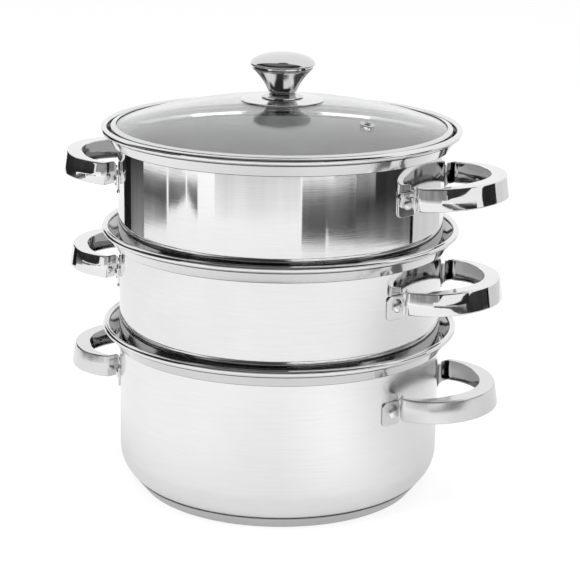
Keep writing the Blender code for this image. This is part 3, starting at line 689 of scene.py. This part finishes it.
def vent_mesh(materials):
    under = -(GLASS_THICKNESS + GAP)
    roll = VENT_FLANGE * EDGE_SHARE
    bore = VENT_BORE_RADIUS
    corners = [(VENT_BARREL_RADIUS, GAP + VENT_FLANGE),
               (VENT_FLANGE_RADIUS, GAP + VENT_FLANGE, roll, FILLET_STEPS),
               (VENT_FLANGE_RADIUS, GAP, roll, FILLET_STEPS),
               (VENT_BARREL_RADIUS, GAP),
               (VENT_BARREL_RADIUS, under),
               (VENT_ROLL_RADIUS, under, roll, FILLET_STEPS),
               (VENT_ROLL_RADIUS, under - VENT_FLANGE, roll, FILLET_STEPS),
               (bore, under - VENT_FLANGE, roll, FILLET_STEPS),
               (bore, GAP + VENT_FLANGE / 3, VENT_FLANGE, BROAD_STEPS),
               (bore + VENT_FLANGE, GAP + VENT_FLANGE / 3, VENT_FLANGE / 4),
               (VENT_BARREL_RADIUS, GAP + VENT_FLANGE)]
    line = round_corners(corners)[:-1]
    # Strips round the bore take the second material, dark steel as painted shade in the hole.
    slots = [int(max(near.x, far.x) < bore + VENT_FLANGE / 2)
             for near, far in zip(line, line[1:] + line[:1])]
    return turned("steam_vent_eyelet_roll", line, materials, SMALL_STEPS, closed=True,
                  slots=slots)


def plate_mesh(materials):
    """Thin plate with a flat middle, a slope that follows the dome and a rolled edge."""
    flat = FOOT_RADIUS + GAP
    edge = on_dome(PLATE_RADIUS, 0).y + GAP
    top = PLATE_TOP
    roll = PLATE_SHEET * SHEET_EDGE_SHARE
    corners = [(SCREW_BORE, top),
               (flat, top, flat / 3, FILLET_STEPS),
               (PLATE_RADIUS, edge + PLATE_SHEET, roll, FILLET_STEPS),
               (PLATE_RADIUS, edge, roll, FILLET_STEPS),
               (flat, top - PLATE_SHEET, flat / 3, FILLET_STEPS),
               (SCREW_BORE, top - PLATE_SHEET)]
    return turned("knob_plate_disc", round_corners(corners), materials, KNOB_STEPS,
                  closed=True)


def foot_mesh(materials):
    """Foot with a straight flare under the neck and a rounded edge."""
    bottom = FOOT_TOP - FOOT_HEIGHT
    line = round_corners([(SCREW_BORE, FOOT_TOP),
                          (FOOT_NECK_RADIUS, FOOT_TOP, FOOT_EDGE / 4),
                          (FOOT_RADIUS, bottom + FOOT_EDGE * 0.8, FOOT_EDGE / 4, ROLL_STEPS),
                          (FOOT_RADIUS - FOOT_EDGE / 2, bottom, FOOT_EDGE / 4, ROLL_STEPS),
                          (SCREW_BORE, bottom)])
    return turned("knob_foot_flare", line, materials, KNOB_STEPS, closed=True)


def cone_mesh(materials):
    """Knob's body: a beaded lip, a hollow side and a foot cut back to a dark groove."""
    bottom = CONE_TOP - CONE_HEIGHT
    lip = CONE_LIP
    neck = FOOT_NECK_RADIUS - lip * 0.4
    line = round_corners([(0, CONE_TOP),
                          (CONE_TOP_RADIUS, CONE_TOP, lip * 0.4, ROLL_STEPS),
                          (CONE_TOP_RADIUS, CONE_TOP - lip, lip * 0.4, ROLL_STEPS),
                          (CONE_TOP_RADIUS - lip, CONE_TOP - lip, lip * 0.3),
                          (CONE_TOP_RADIUS - lip * 1.1, CONE_TOP - lip * 1.6)])
    start = line[-1]
    end = Vector((CONE_FOOT_RADIUS, bottom + lip * 1.4))
    for share in shares(SLOPE_STEPS)[1:-1]:
        point = start.lerp(end, share)
        point.x -= CONE_HOLLOW * math.sin(math.pi * share)
        line.append(point)
    line += round_corners([end,
                           (CONE_FOOT_RADIUS, bottom + lip * 0.9, lip * 0.3, FILLET_STEPS),
                           (neck, bottom + lip * 0.3, lip * 0.3),
                           (neck, bottom),
                           (0, bottom)])
    return turned("knob_cone_body", line, materials, KNOB_STEPS)


def cap_mesh(materials):
    """Domed cap, crisp at its widest line, with an undercut skirt."""
    bottom = CONE_TOP + GAP
    widest = bottom + CAP_SKIRT
    groove = CONE_TOP_RADIUS - CAP_SKIRT / 4
    edge = CAP_SKIRT / 8
    line = []
    for i in range(CAP_STEPS + 1):
        angle = math.pi / 2 * 0.97 * i / CAP_STEPS
        line.append(Vector((CAP_RADIUS * math.sin(angle), widest + CAP_DOME * math.cos(angle))))
    line += round_corners([line[-1],
                           (CAP_RADIUS, widest, edge),
                           (CAP_RADIUS - edge, bottom + CAP_SKIRT * 0.65, edge),
                           (groove, bottom + CAP_SKIRT * 0.5, edge),
                           (groove, bottom),
                           (0, bottom)])[1:]
    return turned("knob_cap_dome", line, materials, KNOB_STEPS)


def washer_mesh(materials):
    top = GLASS_TOP - GLASS_THICKNESS - GAP
    edge = WASHER_THICKNESS * SHEET_EDGE_SHARE
    corners = [(SCREW_BORE, top),
               (WASHER_RADIUS, top, edge, ROLL_STEPS),
               (WASHER_RADIUS, top - WASHER_THICKNESS, edge, ROLL_STEPS),
               (SCREW_BORE, top - WASHER_THICKNESS)]
    return turned("knob_washer_ring", round_corners(corners), materials, SMALL_STEPS,
                  closed=True)


def screw_mesh(materials):
    """Pan-head screw with a round socket in its head."""
    head_top = GLASS_TOP - GLASS_THICKNESS - GAP - WASHER_THICKNESS - GAP
    end = CONE_TOP - CONE_HEIGHT + SCREW_IN_CONE
    line = [(0, end), (SCREW_RADIUS, end), (SCREW_RADIUS, head_top),
            (SCREW_HEAD_RADIUS, head_top)]
    for i in range(1, 9):
        angle = math.pi / 2 * 0.85 * i / 8
        line.append((SCREW_HEAD_RADIUS * math.cos(angle),
                     head_top - SCREW_HEAD_HEIGHT * math.sin(angle)))
    line.append((0, line[-1][1]))
    mesh = turned("knob_screw_turned", line, materials, SMALL_STEPS)
    socket = plain_rod(SCREW_RADIUS, SOCKET_DEPTH)
    return cut(mesh, [(Matrix.Translation((0, 0, head_top - SCREW_HEAD_HEIGHT)), socket)])


# Materials

def set_inputs(tree, target, inputs):
    """Set each input of a node to a value, or link it to a socket."""
    for key, value in inputs.items():
        if isinstance(value, bpy.types.NodeSocket):
            tree.links.new(value, target.inputs[key])
        else:
            target.inputs[key].default_value = value


def node(tree, kind, inputs, **settings):
    new = tree.nodes.new("ShaderNode" + kind)
    for key, value in settings.items():
        setattr(new, key, value)
    set_inputs(tree, new, inputs)
    return new


def new_material(name):
    material = bpy.data.materials.new(name)
    material.use_nodes = True
    tree = material.node_tree
    return material, tree, tree.nodes["Principled BSDF"]


def math_node(tree, operation, *values):
    new = node(tree, "Math", dict(enumerate(values)), operation=operation)
    return new.outputs[0]


def object_place(tree):
    return node(tree, "TexCoord", {}).outputs["Object"]


def noise(tree, place, scale, detail, roughness=0.5):
    new = node(tree, "TexNoise",
               {"Vector": place, "Scale": scale, "Detail": detail, "Roughness": roughness})
    return new.outputs["Fac"]


def spread(tree, value, low, high, start=0.3, end=0.7):
    """Low and high where the value is at start and end, and between them elsewhere."""
    new = node(tree, "MapRange",
               {"Value": value, "From Min": start, "From Max": end, "To Min": low,
                "To Max": high})
    return new.outputs["Result"]


def toned(tone, tint=(1.0, 1.0, 1.0)):
    return (*[tone * c for c in tint], 1.0)


def mixed_colour(tree, share, first, second):
    new = node(tree, "Mix", {"Factor": share, "A": first, "B": second}, data_type="RGBA")
    return new.outputs["Result"]


def turned_lines(tree, place, along, across, outward):
    """Noise drawn out round the Z axis, as fine lines left by polishing."""
    parts = node(tree, "SeparateXYZ", {0: place}).outputs
    flat = node(tree, "CombineXYZ", {"X": parts["X"], "Y": parts["Y"]})
    radius = node(tree, "VectorMath", {0: flat.outputs[0]}, operation="LENGTH")
    level = math_node(tree, "MULTIPLY_ADD", radius.outputs["Value"], outward, parts["Z"])
    stretched = node(tree, "CombineXYZ",
                     {"X": math_node(tree, "MULTIPLY", parts["X"], along),
                      "Y": math_node(tree, "MULTIPLY", parts["Y"], along),
                      "Z": math_node(tree, "MULTIPLY", level, across)})
    return noise(tree, stretched.outputs[0], 1.0, 3.0, 0.65)


def steel(name, tone, roughness, *, uneven=0.03, lines=0.3, along=30.0, across=1500.0,
          outward=0.73, stretch=0.0, wave=0.0, wave_scale=14.0, tint=(1.0, 1.0, 1.0)):
    """Polished or brushed steel: fine turned lines, soft smudges and slight waviness."""
    material, tree, shader = new_material(name)
    place = object_place(tree)
    fine = turned_lines(tree, place, along, across, outward)
    smudge = noise(tree, place, SMUDGE_SCALE, 4.0, 0.55)
    mixed = math_node(tree, "MULTIPLY_ADD", fine, 0.5, math_node(tree, "MULTIPLY", smudge, 0.5))
    colour = mixed_colour(tree, spread(tree, mixed, 0.0, 1.0), toned(tone * DULL_SHARE, tint),
                          toned(min(1.0, tone * BRIGHT_SHARE), tint))
    rough = spread(tree, smudge, max(SMOOTHEST, roughness - uneven), roughness + uneven)
    swell = node(tree, "Bump",
                 {"Strength": wave, "Distance": SWELL_DEPTH,
                  "Height": noise(tree, place, wave_scale, 1.0, 0.4)})
    scratch = node(tree, "Bump",
                   {"Strength": lines, "Distance": SCRATCH_DEPTH, "Height": fine,
                    "Normal": swell.outputs["Normal"]})
    set_inputs(tree, shader, {"Base Color": colour, "Metallic": 1.0, "Roughness": rough,
                              "Normal": scratch.outputs["Normal"]})
    if stretch:
        tangent = node(tree, "Tangent", {}, direction_type="RADIAL", axis="Z")
        set_inputs(tree, shader, {"Anisotropic": stretch, "Anisotropic Rotation": 0.25,
                                  "Tangent": tangent.outputs[0]})
    return material


def glass(name):
    material, tree, shader = new_material(name)
    film = noise(tree, object_place(tree), 30.0, 4.0, 0.6)
    colour = mixed_colour(tree, spread(tree, film, 0.0, 1.0), (0.93, 0.945, 0.94, 1.0),
                          (0.965, 0.975, 0.97, 1.0))
    set_inputs(tree, shader, {"Base Color": colour, "Roughness": spread(tree, film, 0.0, 0.012),
                              "Transmission Weight": 1.0, "IOR": 1.5})
    return material


def rubber(name):
    material, tree, shader = new_material(name)
    grain = noise(tree, object_place(tree), 900.0, 3.0)
    set_inputs(tree, shader, {"Base Color": mixed_colour(tree, grain, toned(0.02), toned(0.05)),
                              "Roughness": spread(tree, grain, 0.55, 0.8)})
    return material


# Building

def at_height(height, turn):
    return Matrix.Translation((0, 0, height)) @ Matrix.Rotation(turn, 4, "Z")


def add_handles(vessel, place, finish, grip="handle"):
    drop, tilt = HANDLES[vessel]
    for side, turn in (("right", 0.0), ("left", math.pi)):
        mesh = handle_mesh(f"{vessel}_handle_{side}_strap", tilt,
                           [finish[grip], finish["channel"]])
        add_piece(mesh.name, mesh, vessel, f"{vessel}_handle_{side}", "handle_steel",
                  place @ at_height(-drop, turn))
    for spot, angle in RIVETS.items():
        mesh = rivet_mesh(f"{vessel}_rivet_{spot}_dome", [finish["rivet"]])
        lay = (place @ Matrix.Translation((*(WALL_RADIUS * facing(angle)), -drop - RIVET_DROP))
               @ Matrix.Rotation(angle, 4, "Z") @ Matrix.Rotation(math.pi / 2, 4, "Y"))
        add_piece(mesh.name, mesh, vessel, f"{vessel}_rivet_{spot}", "rivet_steel", lay)


def build_pot(finish):
    place = at_height(POT_RIM_HEIGHT, 0.0)
    shell = pot_shell([finish[key] for key in ("pot", "inside", "rim", "ledge", "seam")])
    add_piece("pot_shell_sheet", shell, "pot", "pot_shell", "pot_steel", place)
    add_piece("pot_base_cap_sheet", base_cap([finish["base"]]), "pot", "pot_base_cap",
              "base_cap_steel")
    add_handles("pot", place, finish, "satin_handle")
    for material_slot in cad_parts["pot_base_core"].material_slots:
        material_slot.material = finish["core"]


def build_tier(vessel, height, turn, finish, ledge):
    place = at_height(height, turn)
    shell = tier_shell(f"{vessel}_shell_sheet",
                       [finish[key] for key in ("tier", "inside", "rim", ledge, "seam")])
    add_piece(f"{vessel}_shell_sheet", shell, vessel, f"{vessel}_shell", "tier_steel", place)
    add_handles(vessel, place, finish)


def build_lid(finish):
    place = at_height(LID_HEIGHT, UPPER_TURN)
    for mesh, node_name, slot in (
            (glass_mesh([finish["glass"]]), "lid_glass", "lid_glass"),
            (band_mesh([finish["band"], finish["seam"]]), "lid_rim_band", "band_steel"),
            (plate_mesh([finish["plate"]]), "knob_plate", "plate_steel"),
            (foot_mesh([finish["foot"]]), "knob_foot", "foot_steel"),
            (cone_mesh([finish["cone"]]), "knob_cone", "cone_steel"),
            (cap_mesh([finish["cap"]]), "knob_cap", "cap_steel"),
            (washer_mesh([finish["washer"]]), "knob_washer", "washer_rubber"),
            (screw_mesh([finish["screw"]]), "knob_screw", "screw_steel")):
        add_piece(f"{node_name}_piece", mesh, "lid", node_name, slot, place)
    add_piece("steam_vent_eyelet_piece", vent_mesh([finish["vent"], finish["seam"]]), "lid",
              "steam_vent_eyelet", "vent_steel", place @ vent_matrix())


def make_finishes():
    return {"pot": steel("pot_wall_steel", 0.88, 0.20, lines=0.06, stretch=0.75),
            "tier": steel("tier_wall_steel", 0.82, 0.06, uneven=0.02, lines=0.18, across=1100.0,
                          stretch=0.75),
            "inside": steel("inner_wall_steel", 0.72, 0.30, lines=0.2, stretch=0.4),
            "rim": steel("rim_polished_steel", 0.8, 0.11, uneven=0.02, lines=0.1),
            # The collar's inside and ledge: a darker copy of the rim's steel, as painted shade.
            "ledge": steel("ledge_painted_shade_steel", 0.46, 0.1, uneven=0.04, lines=0.9, along=6.0,
                           across=350.0),
            # Near-black steel that paints shade: thin lines under the bead and along the
            # collar's foot, the upper tier's ledge, the lid band's skirt and the vent's bore.
            "seam": steel("seam_tarnished_steel", 0.13, 0.16, uneven=0.05, lines=0.05),
            "base": steel("base_cap_brushed_steel", 0.62, 0.34, lines=0.2),
            "core": steel("base_core_dull_aluminium", 0.6, 0.5, lines=0.1),
            "handle": steel("handle_polished_steel", 0.82, 0.06, uneven=0.03, lines=0.02,
                            along=8.0, outward=0.0, wave=0.06),
            "satin_handle": steel("handle_satin_steel", 0.74, 0.2, uneven=0.04, lines=0.2,
                                  along=14.0, outward=0.0, wave=0.06),
            # The strap's inner channel: a darker copy of the handle's steel, as painted shade.
            "channel": steel("handle_channel_painted_shade_steel", 0.42, 0.08, uneven=0.05, lines=0.05,
                             outward=0.0, wave=1.0, wave_scale=55.0),
            "rivet": steel("rivet_polished_steel", 0.96, 0.32, uneven=0.04, lines=0.02),
            "band": steel("band_polished_steel", 0.7, 0.07, uneven=0.02, lines=0.03),
            "vent": steel("vent_polished_steel", 0.55, 0.12, lines=0.05),
            "plate": steel("plate_polished_steel", 0.8, 0.12, lines=0.04),
            "foot": steel("foot_polished_steel", 0.74, 0.08, lines=0.03),
            "cone": steel("cone_turned_steel", 0.44, 0.13, lines=0.05, across=2600.0,
                          stretch=0.5),
            "cap": steel("cap_satin_steel", 0.7, 0.12, lines=0.04, across=2600.0),
            "screw": steel("screw_zinc_steel", 0.6, 0.3, lines=0.1, tint=(0.98, 1.0, 1.0)),
            "washer": rubber("washer_black_rubber"),
            "glass": glass("lid_clear_glass")}


# Studio

def add_camera():
    yaw, pitch, roll = CAMERA_YAW, CAMERA_PITCH, CAMERA_ROLL
    ahead = Vector((math.sin(yaw), math.cos(yaw), 0))
    right = Vector((math.cos(yaw), -math.sin(yaw), 0))
    up = ahead * math.sin(pitch) + Vector((0, 0, math.cos(pitch)))
    turned_right = right * math.cos(roll) + up * math.sin(roll)
    turned_up = up * math.cos(roll) - right * math.sin(roll)
    back = turned_right.cross(turned_up)
    axes = Matrix((turned_right, turned_up, back)).transposed().to_4x4()
    spot = Matrix.Translation((0, -CAMERA_DISTANCE, UPPER_RIM_HEIGHT + CAMERA_ABOVE_RIM))
    camera = new_object("photo_camera", bpy.data.cameras.new("photo_camera"))
    camera.data.lens = CAMERA_LENS
    camera.data.sensor_width = SENSOR_WIDTH
    camera.data.clip_start = 0.05
    camera.data.clip_end = 50
    camera.matrix_world = Matrix.Rotation(CAMERA_AZIMUTH, 4, "Z") @ spot @ axes
    bpy.context.scene.camera = camera


def light_path(tree):
    return node(tree, "LightPath", {}).outputs


def seen_plainly(tree):
    """One for camera, see-through and mirror rays, and zero for others."""
    path = light_path(tree)
    seen = math_node(tree, "MAXIMUM", path["Is Camera Ray"], path["Is Transmission Ray"])
    return math_node(tree, "MAXIMUM", seen, path["Is Glossy Ray"])


def add_world():
    world = bpy.data.worlds.new("white_studio")
    world.use_nodes = True
    tree = world.node_tree
    set_inputs(tree, tree.nodes["Background"],
               {"Color": toned(1.0),
                "Strength": spread(tree, seen_plainly(tree), WORLD_LEVEL, 1.0, 0.0, 1.0)})
    bpy.context.scene.world = world


def from_camera(azimuth):
    """Direction in plan of an azimuth counted rightward from the camera, in degrees."""
    return facing(CAMERA_AZIMUTH - math.pi / 2 + math.radians(azimuth))


def shade_spot(tree, place, azimuth, distance, core, radius, depth):
    """One, and less near a spot on the floor: a soft, faint shade round its core."""
    spot = (*(distance * from_camera(azimuth)), 0.0)
    away = node(tree, "VectorMath", {0: place, 1: spot}, operation="DISTANCE")
    shade = node(tree, "MapRange",
                 {"Value": away.outputs["Value"], "From Min": core, "From Max": radius,
                  "To Min": 1.0 - depth, "To Max": 1.0}, interpolation_type="SMOOTHSTEP")
    return shade.outputs["Result"]


def add_floor():
    material, tree, shader = new_material("floor_white")
    set_inputs(tree, shader, {"Base Color": toned(FLOOR_TONE), "Roughness": 0.9})
    soft = node(tree, "BsdfDiffuse", {"Color": toned(FLOOR_SOFT)})
    place = object_place(tree)
    shade = 1.0
    for spot in FLOOR_SPOTS:
        shade = math_node(tree, "MULTIPLY", shade_spot(tree, place, *spot), shade)
    level = node(tree, "Mix",
                 {"Factor": light_path(tree)["Is Glossy Ray"], "A": 1.0, "B": shade})
    glow = node(tree, "Emission",
                {"Strength": math_node(tree, "MULTIPLY", level.outputs[0], FLOOR_GLOW)})
    both = node(tree, "AddShader", {0: soft.outputs[0], 1: glow.outputs[0]})
    mix = node(tree, "MixShader",
               {0: seen_plainly(tree), 1: shader.outputs[0], 2: both.outputs[0]})
    set_inputs(tree, tree.nodes["Material Output"], {"Surface": mix.outputs[0]})
    grid = bmesh.new()
    bmesh.ops.create_grid(grid, x_segments=8, y_segments=8, size=FLOOR_REACH)
    mesh = bpy.data.meshes.new("studio_floor")
    grid.to_mesh(mesh)
    grid.free()
    mesh.materials.append(material)
    floor = new_object("studio_floor", mesh)
    floor.location.z = -FLOOR_DROP


def add_lamp(name, azimuth, distance, height, size, power):
    """Soft square lamp that faces the steamer, and that mirrors and glass don't show."""
    light = bpy.data.lights.new(name, "AREA")
    light.shape = "SQUARE"
    light.size = size
    light.energy = power
    lamp = new_object(name, light)
    lamp.location = (*(distance * from_camera(azimuth)), height)
    aim = Vector((0, 0, POT_RIM_HEIGHT)) - lamp.location
    lamp.rotation_mode = "QUATERNION"
    lamp.rotation_quaternion = aim.to_track_quat("-Z", "Y")
    lamp.visible_glossy = lamp.visible_transmission = False


def glowing(name, level_of):
    """Card's surface, as bright as level_of(tree) says."""
    material, tree = new_material(name)[:2]
    glow = node(tree, "Emission", {"Strength": level_of(tree)})
    set_inputs(tree, tree.nodes["Material Output"], {"Surface": glow.outputs[0]})
    return material


def graded(name, low, high, foot_tone, head_tone, streaks):
    """Card's surface, with one tone at its foot, another at its head, and streaks."""
    def level_of(tree):
        place = object_place(tree)
        height = node(tree, "SeparateXYZ", {0: place}).outputs["Z"]
        tone = spread(tree, height, foot_tone, head_tone, low, high)
        drawn = node(tree, "Mapping", {"Vector": place, "Scale": STREAK_SCALE})
        streak = noise(tree, drawn.outputs[0], 1.0, 2.0)
        return math_node(tree, "MULTIPLY", tone,
                         spread(tree, streak, 1.0 - streaks, 1.0 + streaks))
    return glowing(name, level_of)


def twofold(name, tone, deep_tone):
    """Card's surface, with one tone in a first mirror and another in a mirror's mirror."""
    def level_of(tree):
        deep = math_node(tree, "GREATER_THAN", light_path(tree)["Ray Depth"], 1.5)
        return spread(tree, deep, tone, deep_tone, 0.0, 1.0)
    return glowing(name, level_of)


def add_sheet(name, edges, material, through_glass=False):
    """Card between pairs of points, shown in mirrors alone, or only through glass."""
    verts = [point for pair in edges for point in pair]
    faces = [(k - 2, k, k + 1, k - 1) for k in range(2, len(verts), 2)]
    card = new_object(name, mesh_of(name, verts, faces, [material]))
    card.visible_camera = card.visible_diffuse = card.visible_shadow = False
    card.visible_glossy = not through_glass
    card.visible_transmission = through_glass


def card_shares(start, end):
    return shares(max(1, round((end - start) / CARD_STEP)))


def even(start, end, low, high):
    """Outline of a card with level edges between two azimuths."""
    return [(start, low, high), (end, low, high)]


def add_card(name, outline, foot_tone, head_tone, distance=0.75, streaks=0.28,
             through_glass=False):
    """Card round the steamer, with (azimuth, low edge, high edge) at places along it."""
    edges = []
    for (start, *before), (end, *after) in zip(outline, outline[1:]):
        for share in card_shares(start, end)[1 if edges else 0:]:
            spot = distance * from_camera(start + (end - start) * share)
            edges.append([(*spot, a + (b - a) * share) for a, b in zip(before, after)])
    low = min(row[1] for row in outline)
    high = max(row[2] for row in outline)
    add_sheet(name, edges, graded(name, low, high, foot_tone, head_tone, streaks),
              through_glass)


def add_roof(name, start, end, inner, outer, tone, deep_tone):
    """Level card over the steamer, between two azimuths and two distances."""
    edges = []
    for share in card_shares(start, end):
        way = from_camera(start + (end - start) * share)
        edges.append([(*(inner * way), ROOF_HEIGHT), (*(outer * way), ROOF_HEIGHT)])
    add_sheet(name, edges, twofold(name, tone, deep_tone))


# Cards: outline, tones at foot and head, and distance and streaks if not the usual ones.
CARDS = {
    "front": (even(-42, 12, 0.105, 0.265), 0.95, 0.3, 0.75, 0.09),
    "front_upper": (even(-54, 22, 0.265, 0.5), 0.3, 0.3),
    "right": ([(13, 0.08, 0.13), (20, 0.078, 0.13), (28, 0.077, 0.13), (28.5, 0.092, 0.13),
               (31, 0.081, 0.13), (48, 0.076, 0.13)], 0.03, 0.17),
    "right_top": (even(13, 48, 0.13, 0.152), 0.17, 0.8),
    "right_far": ([(48, 0.074, 0.12), (72, 0.068, 0.12), (93.7, 0.057, 0.12)], 0.25, 0.04),
    "right_far_top": ([(48, 0.12, 0.155), (62, 0.12, 0.165)], 0.06, 0.5),
    "right_black": (even(62, 93.7, 0.12, 0.2), 0.03, 0.05),
    "right_edge": (even(93.7, 97, 0.05, 0.2), 0.0, 0.0),
    "right_pale": (even(97, 140, 0.05, 0.26), 0.72, 0.8, 0.75, 0.05),
    "right_high": (even(76, 99, 0.2, 0.3), 0.02, 0.02),
    "right_under": ([(33, 0.157, 0.167), (42, 0.157, 0.184), (50, 0.157, 0.205),
                     (58, 0.165, 0.226), (66, 0.165, 0.24)], 0.02, 0.02),
    "right_upper": ([(23, 0.27, 0.5), (30, 0.33, 0.5), (42, 0.352, 0.5), (54, 0.352, 0.5),
                     (60, 0.37, 0.5)], 0.02, 0.05),
    "left_grey": (even(-120, -102, 0.05, 0.16), 0.3, 0.02),
    "left_low": ([(-102, 0.075, 0.113), (-78.5, 0.085, 0.113)], 0.5, 0.1),
    "left_near": (even(-102, -78.5, 0.113, 0.14), 0.06, 0.3),
    "left_wedge": ([(-77, 0.104, 0.14), (-70, 0.108, 0.14), (-62.8, 0.12, 0.14)], 0.03, 0.28),
    "left_last": ([(-61.8, 0.126, 0.14), (-58, 0.112, 0.14), (-54, 0.104, 0.14)], 0.05, 0.28),
    "left_over": ([(-142, 0.16, 0.38), (-105, 0.16, 0.42), (-93, 0.16, 0.42), (-66, 0.16, 0.4),
                   (-58, 0.2, 0.38)], 0.02, 0.05, 0.74),
    "left_black": (even(-134, -120, 0.045, 0.3), 0.01, 0.01),
    "over_camera": ([(-110, 0.7, 2.4), (-42, 0.55, 3.1), (-2, 0.55, 3.1), (72, 0.7, 2.4)],
                    0.03, 0.05, 1.6)}

# Roof cards: the azimuths and the distances that bound them, and the two tones.
ROOFS = {"middle": (-76, 11, 0.0, 1.6, 0.2, 0.05),
         "left": (-110, -76, 0.0, 2.0, 0.2, 1.9),
         "left_far": (-131, -110, 0.3, 2.0, 1.0, 2.0),
         "left_back": (-180, -131, 1.2, 3.5, 1.0, 0.12),
         "right": (11, 72, 0.0, 1.5, 0.2, 1.9),
         "right_far": (72, 101, 0.3, 1.6, 1.0, 2.0),
         "right_back": (101, 150, 1.0, 3.0, 1.0, 0.12),
         "back": (72, 250, 0.0, 0.3, 0.03, 0.03)}


def build_studio():
    add_camera()
    add_world()
    add_floor()
    add_lamp("softbox_top", 0, 0.3, 2.3, 2.0, 26)
    add_lamp("softbox_left", -55, 1.9, 1.5, 1.2, 12)
    add_lamp("softbox_right", 50, 2.0, 1.3, 1.0, 8)
    for name, looks in CARDS.items():
        add_card(f"card_{name}", *looks)
    for name, start, end in (("right", 27, 74), ("left", -72, 14)):
        add_card(f"strip_{name}", even(start, end, 0.33, 0.6), 4.0, 4.0, streaks=0.0,
                 through_glass=True)
    for name, looks in ROOFS.items():
        add_roof(f"card_roof_{name}", *looks)


bpy.context.scene.view_settings.view_transform = "Standard"
finishes = make_finishes()
build_pot(finishes)
build_tier("lower_steamer", LOWER_RIM_HEIGHT, LOWER_TURN, finishes, "ledge")
# The upper tier's ledge takes the darkest steel instead, as painted shade.
build_tier("upper_steamer", UPPER_RIM_HEIGHT, UPPER_TURN, finishes, "seam")
build_lid(finishes)
build_studio()
